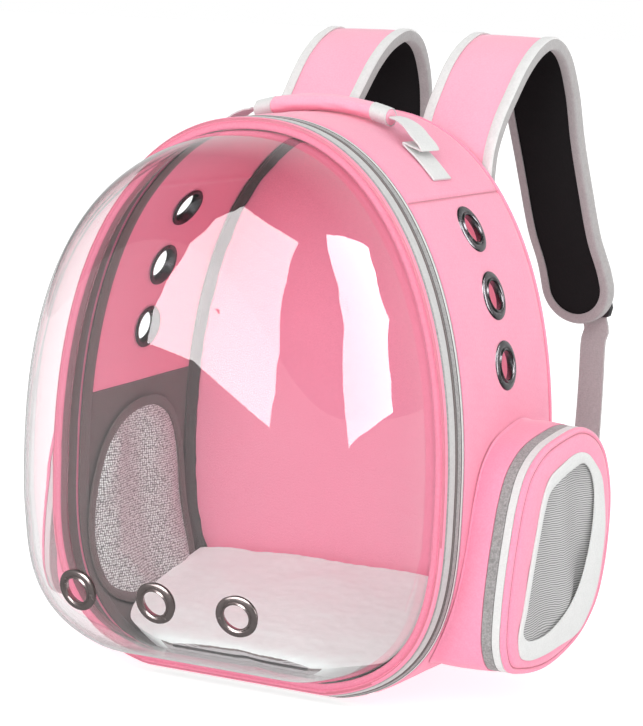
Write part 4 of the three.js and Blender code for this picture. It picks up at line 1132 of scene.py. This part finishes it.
# Side pocket, seen from the side: edge, window binding and mesh, each as depth and height shares
pocketRows = [
    (0.16, 1.0, 0.087, 0.898, 0.08, 0.84), (-0.04, 0.98, -0.06, 0.862, -0.07, 0.8),
    (-0.213, 0.934, -0.167, 0.82, -0.165, 0.755), (-0.333, 0.85, -0.227, 0.737, -0.207, 0.68),
    (-0.4, 0.73, -0.267, 0.61, -0.247, 0.56), (-0.44, 0.593, -0.31, 0.47, -0.285, 0.43),
    (-0.475, 0.43, -0.353, 0.3, -0.325, 0.28), (-0.493, 0.281, -0.387, 0.18, -0.35, 0.2),
    (-0.487, 0.144, -0.36, 0.1, -0.315, 0.163), (-0.427, 0.048, -0.28, 0.072, -0.25, 0.15),
    (-0.293, 0.012, -0.14, 0.07, -0.13, 0.155), (-0.093, 0.0, -0.01, 0.084, -0.02, 0.185),
    (0.107, 0.036, 0.2, 0.12, 0.1, 0.245), (0.273, 0.102, 0.3, 0.198, 0.19, 0.33),
    (0.407, 0.216, 0.367, 0.3, 0.245, 0.43), (0.473, 0.359, 0.4, 0.42, 0.28, 0.54),
    (0.5, 0.521, 0.413, 0.54, 0.29, 0.64), (0.5, 0.659, 0.39, 0.66, 0.28, 0.72),
    (0.467, 0.778, 0.347, 0.77, 0.245, 0.79), (0.407, 0.88, 0.267, 0.84, 0.19, 0.835),
    (0.307, 0.958, 0.19, 0.885, 0.14, 0.85),
]
pocket = {
    "length": 150, "height": 167, "middle": 14, "sill": 28, "frontDepth": 29, "backDepth": 42, "tape": 6.6,
    "steps": 104, "wall": 2.0, "tapeRear": (-13.5, -6.1), "tapeFront": (-5.8, 0),
    "face": [(0.4, 0.4), (0.3, 1.5), (0.8, 2.8), (1.8, 3.7), (2.9, 4.0), (3.7, 3.6), (4.2, 2.9), (4.7, 3.0),
             (5.2, 3.9), (6.4, 4.6), (9.2, 5.1)],
    "groove": [(4.0, 3.0), (4.1, 3.45), (4.45, 3.6), (4.8, 3.45), (4.9, 3.0), (4.45, 2.8)],
    "margin": 9.2, "crown": 5.1, "puff": 0.5, "netRings": 14, "netThickness": 0.5,
}


def pocketLine(column):
    knots = []
    for row in pocketRows:
        across, up = row[column] * pocket["length"], row[column + 1] * pocket["height"]
        knots.append(Vector((pocket["middle"] + across, pocket["sill"] + up)))
    return smoothLoop(knots, pocket["steps"])


pocketEdge, pocketBinding, pocketMesh = pocketLine(0), pocketLine(2), pocketLine(4)


def pocketReach(y):
    share = (y - (pocket["middle"] - pocket["length"] / 2)) / pocket["length"]
    return body["width"] / 2 + pocket["frontDepth"] + (pocket["backDepth"] - pocket["frontDepth"]) * share


def onFace(line, offset):
    return [Vector((pocketReach(p.x) + offset, p.x, p.y)) * mm for p in line]


def wallSeat(line, out):
    return [wallAt(p.x, p.y, -out) for p in line]


def between(a, b, t):
    return [p.lerp(q, t) for p, q in zip(a, b)]


def pocketWall():
    outer = insetLine(pocketEdge, -0.2)
    inner = insetLine(pocketEdge, pocket["wall"])
    foot, footIn = wallSeat(insetLine(pocketEdge, -1.6), 0.5), wallSeat(inner, 0.6)
    rimOffset = -2 * pocket["tape"] - 0.6
    rim, rimIn = onFace(outer, rimOffset), onFace(inner, rimOffset)
    loops = [foot]
    for part in (0.06, 0.14, 0.3, 0.5, 0.7, 0.86, 0.95):
        loop = between(wallSeat(outer, 0.6), rim, part)
        swell = math.sin(part * math.pi) * 1.0
        for i, place in enumerate(loop):
            away = Vector((0, outer[i].x - pocketEdge[i].x, outer[i].y - pocketEdge[i].y)).normalized()
            place += away * (swell + ripple(place, 15, 0.8) * math.sin(part * math.pi)) * mm
        loops.append(loop)
    loops += [rim, rimIn] + [between(rimIn, footIn, part) for part in (0.3, 0.7)] + [footIn]
    return growLoops("pocketWallCloth", loops, joined=True)


def pocketTape(name, low, high):
    outer, inner = insetLine(pocketEdge, 0.35), insetLine(pocketEdge, 2.0)
    shoulder = insetLine(pocketEdge, 0.7)
    section = [(outer, low + 0.3), (outer, (low + high) / 2), (outer, high - 0.3), (shoulder, high),
               (inner, high - 0.1), (inner, low + 0.1), (shoulder, low)]
    return growLoops(name, [onFace(line, offset) for line, offset in section], joined=True)


def pocketFace():
    lip = between(pocketBinding, pocketMesh, 0.4)
    loops = [onFace(insetLine(pocketEdge, inward), height) for inward, height in pocket["face"]]
    margin = insetLine(pocketEdge, pocket["margin"])
    for part in (0.3, 0.6, 0.85, 1):
        puff = pocket["crown"] + pocket["puff"] * math.sin(part * math.pi)
        loops.append(onFace(between(margin, lip, part), puff))
    loops += [onFace(lip, 3.0), onFace(between(margin, lip, 0.5), 3.0), onFace(margin, 2.8),
              onFace(insetLine(pocketEdge, 4.4), 1.8), onFace(insetLine(pocketEdge, 3.0), 0.5)]
    for loop in loops[9:15]:
        for place in loop:
            place.x += ripple(place, 22, 0.6) * mm
    return growLoops("pocketFaceCloth", loops, joined=True)


def pocketRim():
    section = [(0.0, 5.6), (0.0, 6.4), (0.15, 7.0), (0.5, 7.2), (0.85, 7.0), (1.0, 6.4), (1.0, 5.6),
               (0.5, 5.4)]
    loops = [onFace(between(pocketBinding, pocketMesh, part), height) for part, height in section]
    return growLoops("pocketWindowBindingCloth", loops, joined=True)


def pocketNetPlace(p, inward):
    fold = math.sin(p.x * 0.11 + p.y * 0.025)
    sag = min(1, inward * 5) * (2.6 + 2.6 * fold + ripple((0, p.x * mm, p.y * mm), 20, 1.2))
    return Vector((pocketReach(p.x) + 4.6 - max(sag, 0), p.x, p.y)) * mm


finishPair(pocketWall(), "pocketWallCloth", ["pocket_wall"], "pink_fabric", pinkCloth, smooth=50)
tapeBehind = pocketTape("pocketTapeRearCloth", *pocket["tapeRear"])
finishPair(tapeBehind, "pocketTapeRearCloth", ["pocket_tape_rear"], "grey_tape", greyTape)
tapeBefore = pocketTape("pocketTapeFrontCloth", *pocket["tapeFront"])
finishPair(tapeBefore, "pocketTapeFrontCloth", ["pocket_tape_front"], "light_tape", paleTape)
finishPair(pocketFace(), "pocketFaceCloth", ["pocket_face"], "pink_fabric", pinkCloth, smooth=50)
loops = [onFace(insetLine(pocketEdge, inward), height) for inward, height in pocket["groove"]]
groove = growLoops("pocketGrooveThread", loops, joined=True)
finishPair(groove, "pocketGrooveThread", [], "pink_fabric", threadPink, smooth=60)
finishPair(pocketRim(), "pocketWindowBindingCloth", ["pocket_window_binding"], "light_tape", paleTape)
centre = Vector((pocket["middle"] - 3, pocket["sill"] + pocket["height"] * 0.5))
loops = nettingLoops(between(pocketBinding, pocketMesh, 0.55), pocket["netRings"], pocketNetPlace)
net = closedSheet("pocketMeshNetting", loops, pocket["netThickness"])
finishPair(net, "pocketMeshNetting", ["pocket_mesh"], "grey_mesh", pocketNetting)
print("side pockets sewn on")

# Carrying handle: a soft roll, pale cuffs and webbing folded to the top panel
handle = {
    "y": 8, "length": 108, "width": 17, "thickness": 10, "droop": 8, "clearance": 0.5, "plump": 1.22,
    "raised": 1.2, "sides": 28, "wrinkle": 0.7, "webbing": 28, "webbingThickness": 1.6, "webbingSteps": 72,
    "cuff": (0.74, 0.745, 0.76, 0.84, 0.93, 0.985, 0.99),
    "cuffSwell": 1.1, "cuffEdge": 1.03, "cuffInside": 0.97, "cuffWrinkle": 0.3,
}


def topHeight(x, y):
    low, high = 0.25, 0.5
    for _ in range(24):
        middle = (low + high) / 2
        if outline(middle, y)[0] > abs(x):
            low = middle
        else:
            high = middle
    return outline(high, y)[1]


def gripCentre(side):
    crest = topHeight(0, handle["y"]) + handle["clearance"] + handle["thickness"] / 2
    return Vector((handle["length"] / 2 * side, handle["y"], crest - handle["droop"] * side ** 2))


def gripLoop(side, swell, wrinkle):
    middle = gripCentre(side)
    loop = []
    for k in range(handle["sides"]):
        turn = math.tau * k / handle["sides"]
        crease = 1 - 0.05 * max(0, math.cos(turn + 2.2)) ** 12
        wide = handle["width"] / 2 * swell * crease * math.cos(turn)
        high = handle["thickness"] / 2 * swell * crease * math.sin(turn) * handle["plump"] + handle["raised"]
        place = middle + Vector((0, wide, high))
        place.z += noise.noise(Vector((place.x * 0.09, k * 0.5, 0))) * wrinkle
        place.y += noise.noise(Vector((place.x * 0.07, k * 0.4, 5))) * wrinkle
        loop.append(place * mm)
    return loop


stops = [-1, -0.995, -0.97] + [-0.94 + 1.88 * i / 44 for i in range(45)] + [0.97, 0.995, 1]
swells = [0.72, 0.86, 0.95] + [1.0] * 45 + [0.95, 0.86, 0.72]
loops = [gripLoop(stop, swell, handle["wrinkle"]) for stop, swell in zip(stops, swells)]
grip = growLoops("handleGripCloth", loops, caps=True)
finishPiece(grip, ["handle_grip"], "pink_fabric", strapCloth, smooth=60)
cuffStops = handle["cuff"]
cuffLoops = []
for side in cuffStops:
    swell = handle["cuffEdge"] if side in (cuffStops[0], cuffStops[-1]) else handle["cuffSwell"]
    cuffLoops.append(gripLoop(side, swell, handle["cuffWrinkle"]))
for side in (cuffStops[-2], cuffStops[1]):
    cuffLoops.append(gripLoop(side, handle["cuffInside"], handle["cuffWrinkle"]))
cuff = growLoops("handleCuffCloth", cuffLoops, joined=True)
finishPair(cuff, "handleCuffCloth", [], "light_tape", paleTape, smooth=50)

# The webbing's fold: share of the handle's length from its middle, and height over the top panel
handleRows = [(0.52, 11.8), (0.574, 13.7), (0.648, 14.5), (0.713, 12.9), (0.765, 12.2), (0.787, 10.6),
              (0.755, 8.6), (0.7, 5.6), (0.665, 4.2), (0.645, 3.0), (0.675, 2.2), (0.76, 2.0), (0.885, 2.1)]
handleKnots = []
for part, over in handleRows:
    x = part * handle["length"]
    handleKnots.append(Vector((x, handle["y"], topHeight(x, handle["y"]) + over)))
handlePath = Path(handleKnots)


def flatLoop(centre, along, across, half, thickness, rounding=0.35):  # the section of a flat woven strap
    out = across.cross(along).normalized()
    rows = [(-1, 0), (-1 + rounding / 10, 0.8), (-0.9, 1), (0, 1), (0.9, 1), (1 - rounding / 10, 0.8), (1, 0),
            (1 - rounding / 10, -0.8), (0.9, -1), (0, -1), (-0.9, -1), (-1 + rounding / 10, -0.8)]
    return [(centre + across * half * side + out * thickness / 2 * lift) * mm for side, lift in rows]


loops = []
steps = handle["webbingSteps"]
reach = 0.8
for i in range(steps + 1):
    way = handlePath.length * i / steps
    held = min(max(way, reach), handlePath.length - reach)
    along = (handlePath.at(held + reach) - handlePath.at(held - reach)).normalized()
    narrow = 0.62 + 0.38 * min(1, i / (steps * 0.22))
    half = handle["webbing"] / 2 * narrow
    loops.append(flatLoop(handlePath.at(way), along, Vector((0, 1, 0)), half, handle["webbingThickness"]))
folded = growLoops("handleWebbingCloth", loops, caps=True)
finishPair(folded, "handleWebbingCloth", ["handle_webbing"], "light_tape", paleTape)
print("handle folded")

# Shoulder straps: pad, lining and felt binding along one line, with the ladder buckle and webbing at its end
strapRows = [
    (0, 0, 0.47), (0, 0.002, 0.56), (0, 0.015, 0.64), (0, 0.07, 0.73), (0, 0.155, 0.815), (0, 0.27, 0.91),
    (0, 0.4, 0.975), (0, 0.535, 1.0), (0.03, 0.66, 0.96), (0.1, 0.76, 0.84), (0.22, 0.82, 0.667),
    (0.38, 0.865, 0.5), (0.56, 0.915, 0.324), (0.75, 0.965, 0.198), (0.88, 0.985, 0.095), (1.0, 1.0, 0),
]
strap = {
    "middle": 62, "spread": 33, "reach": 184, "apex": 458, "end": 237, "width": 68, "baseWidth": 62,
    "thickness": 6, "lining": 2, "twist": 16, "round": 30, "binding": 8, "bindingThickness": 1.2,
    "steps": 84, "roundSteps": 28, "buckleLength": 26, "buckleShare": 0.6, "buckleAside": 5, "tucked": 1.6,
}
seamGap = 0.3
panelBack = body["back"] + seamGap + body["wall"]
strapHigh = strap["thickness"] / 2 + 0.75 + strap["bindingThickness"]
strapBase = panelBack + seamGap + strapHigh
strapKnots = []
for out, back, up in strapRows:
    x, y = strap["middle"] + strap["spread"] * out, strapBase + strap["reach"] * back
    strapKnots.append(Vector((x, y, strap["end"] + (strap["apex"] - strap["end"]) * up)))
strapPath = Path(strapKnots, twist=lambda share: strap["twist"] * easeBetween(0.35, 0.7, share))
strapStraight = strapPath.length - strap["round"]


def strapHalf(way):
    wider = easeBetween(0, 0.3, way / strapPath.length)
    return (strap["baseWidth"] + (strap["width"] - strap["baseWidth"]) * wider) / 2


def strapLayer(name, low, high, crown):
    ways = [strapStraight * i / strap["steps"] for i in range(strap["steps"] + 1)]
    reach = strap["round"] - strap["tucked"]
    for part in (0.12, 0.25, 0.38, 0.5, 0.62, 0.72, 0.81, 0.88, 0.93, 0.97, 0.99):
        ways.append(strapStraight + reach * part)
    loops = []
    for way in ways:
        into = max(0, way - strapStraight) / reach
        half = (strapHalf(way) - strap["tucked"]) * math.sqrt(max(1 - into ** 2, 0))
        upper = [(1 - 2 * k / 12) for k in range(13)]
        loop = []
        for side in upper:
            uneven = noise.noise(Vector((way * 0.03, side * 1.2, crown))) * 0.5 * (1 - side ** 2)
            loop.append(strapPath.ribbon(way, half * side, high + crown * (1 - side ** 4) + uneven) * mm)
        loop += [strapPath.ribbon(way, half * side, low) * mm for side in reversed(upper)]
        loops.append(loop)
    return growLoops(name, loops, caps=True)


strapFloor = strap["lining"] - strap["thickness"] / 2
pad = strapLayer("strapPadCloth", strapFloor + 0.3, strap["thickness"] / 2 - 0.4, 1.0)
finishPair(pad, "strapPadCloth", ["strap_pad"], "pink_fabric", strapCloth, smooth=60)
under = strapLayer("strapLiningCloth", -strap["thickness"] / 2, strapFloor, 0.0)
finishPair(under, "strapLiningCloth", ["strap_lining"], "black_lining", blackLining, smooth=60)


def strapRim():
    route = []
    for i in range(strap["steps"]):
        way = strapStraight * i / strap["steps"]
        route.append((way, strapHalf(way), 0, -1))
    endHalf = strapHalf(strapPath.length)
    for i in range(strap["roundSteps"] + 1):
        turn = math.pi * i / strap["roundSteps"]
        way = strapStraight + strap["round"] * math.sin(turn)
        inWay, inSide = -math.sin(turn) / strap["round"], -math.cos(turn) / endHalf
        size = math.hypot(inWay, inSide)
        route.append((way, endHalf * math.cos(turn), inWay / size, inSide / size))
    for i in range(strap["steps"] - 1, -1, -1):
        way = strapStraight * i / strap["steps"]
        route.append((way, -strapHalf(way), 0, 1))
    low, high, reach = strap["thickness"] / 2 + 0.3, strapHigh, strap["binding"]
    wrap = [(0, -high + 1.6), (0.5, -high + 0.5), (1.8, -high), (reach - 0.5, -high + 0.1),
            (reach, -high + 0.6), (reach - 0.3, -low), (2, -low), (1.2, -low + 1), (1.2, low - 1), (2, low),
            (reach - 0.3, low), (reach, high - 0.6), (reach - 0.5, high - 0.1), (1.8, high),
            (0.5, high - 0.5), (0, high - 1.6)]
    loops = [[strapPath.ribbon(way + inWay * into, side + inSide * into, lift) * mm for into, lift in wrap]
             for way, side, inWay, inSide in route]
    return growLoops("strapBindingCloth", loops, caps=True)


felt = strapRim()
felt.data.materials.append(feltBinding)
felt.data.materials.append(feltPaintedShade)
stations = []
for i in range(61):
    way = strapPath.length * i / 60
    stations.append((strapPath.at(way) * mm, strapPath.frame(way)[3]))
for polygon in felt.data.polygons:  # painted shade: the side that lies on the wearer's back, turned from the light, gets a darker copy of the felt
    nearest, out = min(stations, key=lambda s: (s[0] - polygon.center).length)
    if (polygon.center - nearest).dot(out) < 2 * mm and polygon.normal.dot(out) < 0.3:
        polygon.material_index = 1
finishPair(felt, "strapBindingCloth", ["strap_binding"], "felt_binding", smooth=50)

for word in ("right", "left"):  # the buckle keeps its solid's shape, with its edges broken
    node = frame["nodes"][f"ladder_buckle_{word}"]
    buckle = node.copy()
    buckle.data = node.data.copy()
    buckle.name = buckle.data.name = f"ladderBuckle_{word}"
    bpy.context.scene.collection.objects.link(buckle)
    buckle.parent = None
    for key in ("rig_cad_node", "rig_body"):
        if key in buckle:
            del buckle[key]
    takeUp(buckle)
    bpy.ops.object.mode_set(mode="EDIT")
    bpy.ops.mesh.select_all(action="SELECT")
    bpy.ops.mesh.remove_doubles(threshold=1e-5)
    bpy.ops.mesh.dissolve_limited(angle_limit=math.radians(2))
    bpy.ops.mesh.normals_make_consistent(inside=False)
    bpy.ops.object.mode_set(mode="OBJECT")
    applied(buckle, "BEVEL", width=0.7 * mm, segments=3, limit_method="ANGLE",
            angle_limit=math.radians(40))
    buckle.data.materials.clear()
    finishPiece(buckle, [f"ladder_buckle_{word}"], "black_plastic", blackPlastic, smooth=40)

# Lower webbing, from the buckle down to the foot of the back
webbingRows = [
    (0, 0, 1), (0.02, 0, 0.93), (0.04, 0.01, 0.8), (0.06, 0.02, 0.68), (0.1, 0.05, 0.55), (0.2, 0.17, 0.4),
    (0.35, 0.42, 0.27), (0.55, 0.69, 0.19), (0.74, 0.87, 0.155), (0.86, 0.965, 0.125), (0.94, 0.993, 0.095),
    (1, 1, 0.045),
]
webbing = {"width": 25, "thickness": 1.8, "sewnInside": 36, "bend": 0.4, "lift": 2.5, "steps": 96}
_, endAlong, _, endOut = strapPath.frame(strapPath.length)
buckleWay = strapPath.length - strap["buckleLength"] * strap["buckleShare"]
buckleSeat = strapPath.ribbon(buckleWay, strap["buckleAside"], strapHigh + seamGap)
start = buckleSeat + endAlong * (strap["buckleLength"] / 2 + seamGap) + endOut * webbing["lift"]
sewnX = body["width"] / 2 - webbing["sewnInside"]
sewnY = panelBack + seamGap + webbing["thickness"]
knots = []
for out, back, up in webbingRows:
    x, y = start.x + (sewnX - start.x) * out, start.y + (sewnY - start.y) * back
    knots.append(Vector((x, y, start.z * up)))
knots.insert(1, start + endAlong * strap["buckleLength"] * webbing["bend"])
webbingPath = Path(knots, twist=lambda share: strap["twist"] * (1 - easeBetween(0.1, 0.8, share)))
loops = []
for i in range(webbing["steps"] + 1):
    way = webbingPath.length * i / webbing["steps"]
    place, along, across, _ = webbingPath.frame(way)
    loops.append(flatLoop(place, along, across, webbing["width"] / 2, webbing["thickness"]))
lower = growLoops("lowerWebbingCloth", loops, caps=True)
finishPair(lower, "lowerWebbingCloth", ["lower_webbing"], "grey_tape", webbingGrey)
print("straps hung")

# Camera at the photograph's angle
view = {"azimuth": 28.3, "elevation": 7.57, "roll": 2.39, "distance": 1944.35, "lens": 134.46,
        "shiftX": 0.0255, "shiftY": -0.018, "target": (0.19, -10, 234.1)}
az, el, roll = (math.radians(view[key]) for key in ("azimuth", "elevation", "roll"))
backward = Vector((math.sin(az) * math.cos(el), -math.cos(az) * math.cos(el), math.sin(el)))
level = Vector((math.cos(az), math.sin(az), 0))
upright = backward.cross(level)
rightward = level * math.cos(roll) + upright * math.sin(roll)
upward = upright * math.cos(roll) - level * math.sin(roll)
cameraData = bpy.data.cameras.new("camera")
cameraData.lens = view["lens"]
cameraData.sensor_width = 36
cameraData.shift_x, cameraData.shift_y = view["shiftX"], view["shiftY"]
camera = bpy.data.objects.new("camera", cameraData)
bpy.context.scene.collection.objects.link(camera)
turn = Matrix((rightward, upward, backward)).transposed().to_4x4()
turn.translation = (Vector(view["target"]) + backward * view["distance"]) * mm
camera.matrix_world = turn
bpy.context.scene.camera = camera

# Pale floor, white surroundings and soft boxes
deselectAll()
bpy.ops.mesh.primitive_plane_add(size=60, location=(0, 0, -0.0006))
floor = bpy.context.object
floor.name = "floor"
floorMaterial, _, floorShader = blank("paleFloor")
floorShader.inputs["Base Color"].default_value = (0.55, 0.55, 0.55, 1)
floorShader.inputs["Roughness"].default_value = 0.9
floorShader.inputs["Specular IOR Level"].default_value = 0.1
floorShader.inputs["Emission Color"].default_value = (1, 1, 1, 1)
floorShader.inputs["Emission Strength"].default_value = 0.72
floor.data.materials.append(floorMaterial)
floor.visible_glossy = False

studio = {"open": 1.0, "light": 0.8, "room": 0.14, "roomTo": 0.6, "wallFrom": 0.95}
world = bpy.data.worlds.new("studio")
world.use_nodes = True
studioTree = world.node_tree
studioBack = studioTree.nodes["Background"]
studioRays = addNode(studioTree, "ShaderNodeLightPath")
studioWay = addNode(studioTree, "ShaderNodeTexCoord")
studioSplit = addNode(studioTree, "ShaderNodeSeparateXYZ")
studioTree.links.new(studioWay.outputs["Generated"], studioSplit.inputs[0])
studioDepth = addNode(studioTree, "ShaderNodeMapRange")  # gloss mirrors a dark room, and a pale wall behind
studioDepth.inputs["From Min"].default_value = studio["roomTo"]
studioDepth.inputs["From Max"].default_value = studio["wallFrom"]
studioDepth.inputs["To Min"].default_value = studio["room"]
studioDepth.inputs["To Max"].default_value = studio["open"]
studioTree.links.new(studioSplit.outputs["Y"], studioDepth.inputs["Value"])
clothLight = addNode(studioTree, "ShaderNodeMix", data_type="FLOAT")
clothLight.inputs[2].default_value = studio["open"]
clothLight.inputs[3].default_value = studio["light"]
studioTree.links.new(studioRays.outputs["Is Diffuse Ray"], clothLight.inputs["Factor"])
glossLight = addNode(studioTree, "ShaderNodeMix", data_type="FLOAT")
studioTree.links.new(studioRays.outputs["Is Glossy Ray"], glossLight.inputs["Factor"])
studioTree.links.new(clothLight.outputs[0], glossLight.inputs[2])
studioTree.links.new(studioDepth.outputs["Result"], glossLight.inputs[3])
studioTree.links.new(glossLight.outputs[0], studioBack.inputs["Strength"])
studioBack.inputs["Color"].default_value = (1, 1, 1, 1)
bpy.context.scene.world = world


def softBox(name, place, aim, width, height, power):
    data = bpy.data.lights.new(name, "AREA")
    data.shape = "RECTANGLE"
    data.size, data.size_y, data.energy = width, height, power
    lamp = bpy.data.objects.new(name, data)
    bpy.context.scene.collection.objects.link(lamp)
    lamp.location = place
    lamp.rotation_euler = (Vector(aim) - Vector(place)).to_track_quat("-Z", "Y").to_euler()
    lamp.visible_glossy = lamp.visible_transmission = False
    return lamp


softBox("keyLight", (0.5, -2.4, 1.5), (0, 0, 0.2), 1.2, 1.2, 26)
softBox("sideLight", (1.9, -0.9, 1.6), (0, 0, 0.2), 1.4, 1.4, 4)

# Two bright windows, seen only where the bubble and the metal mirror them. Each is drawn as the patch
# that it makes on the bubble, in width and height, and hung where the camera's line is thrown.
windows = {
    "reach": 1.5, "light": 15.0,
    "leftWindow": [(50, 350), (84, 329), (86, 281), (86, 242), (83, 211), (53, 231), (25, 249), (-10, 257),
                   (-6, 278), (7, 305), (21, 324), (36, 341)],
    "rightWindow": [(92, 333), (97, 332), (103, 328), (106, 325), (114, 309), (126, 279), (134, 240),
                    (137, 220), (125, 200), (117, 268), (107, 301), (98, 322)],
}
windowGlow, _, glowShader = blank("windowGlow")
glowShader.inputs["Base Color"].default_value = (0, 0, 0, 1)
glowShader.inputs["Emission Color"].default_value = (1, 0.97, 0.98, 1)
glowShader.inputs["Emission Strength"].default_value = windows["light"]


def thrownPlace(p):
    place, outward = bubbleSeat(p.x, p.y, 3)
    sight = (place - camera.matrix_world.translation).normalized()
    return place + (sight - outward * 2 * sight.dot(outward)) * windows["reach"]


def hangWindow(name):
    knots = [Vector(p) for p in windows[name]]
    patch = [a.lerp(b, part / 4) for a, b in zip(knots, knots[1:] + knots[:1]) for part in range(4)]
    middle = sum(patch, Vector((0, 0))) / len(patch)
    loops = [[thrownPlace(p.lerp(middle, part)) for p in patch] for part in (0, 0.2, 0.4, 0.6, 0.8, 0.97)]
    pane = growLoops(name, loops)
    pane.data.materials.append(windowGlow)
    pane.visible_camera = pane.visible_diffuse = pane.visible_transmission = False
    pane.visible_shadow = pane.visible_volume_scatter = False


hangWindow("leftWindow")
hangWindow("rightWindow")
bpy.context.scene.view_settings.view_transform = "Standard"
bpy.context.scene.view_settings.look = "None"
print("studio lit")
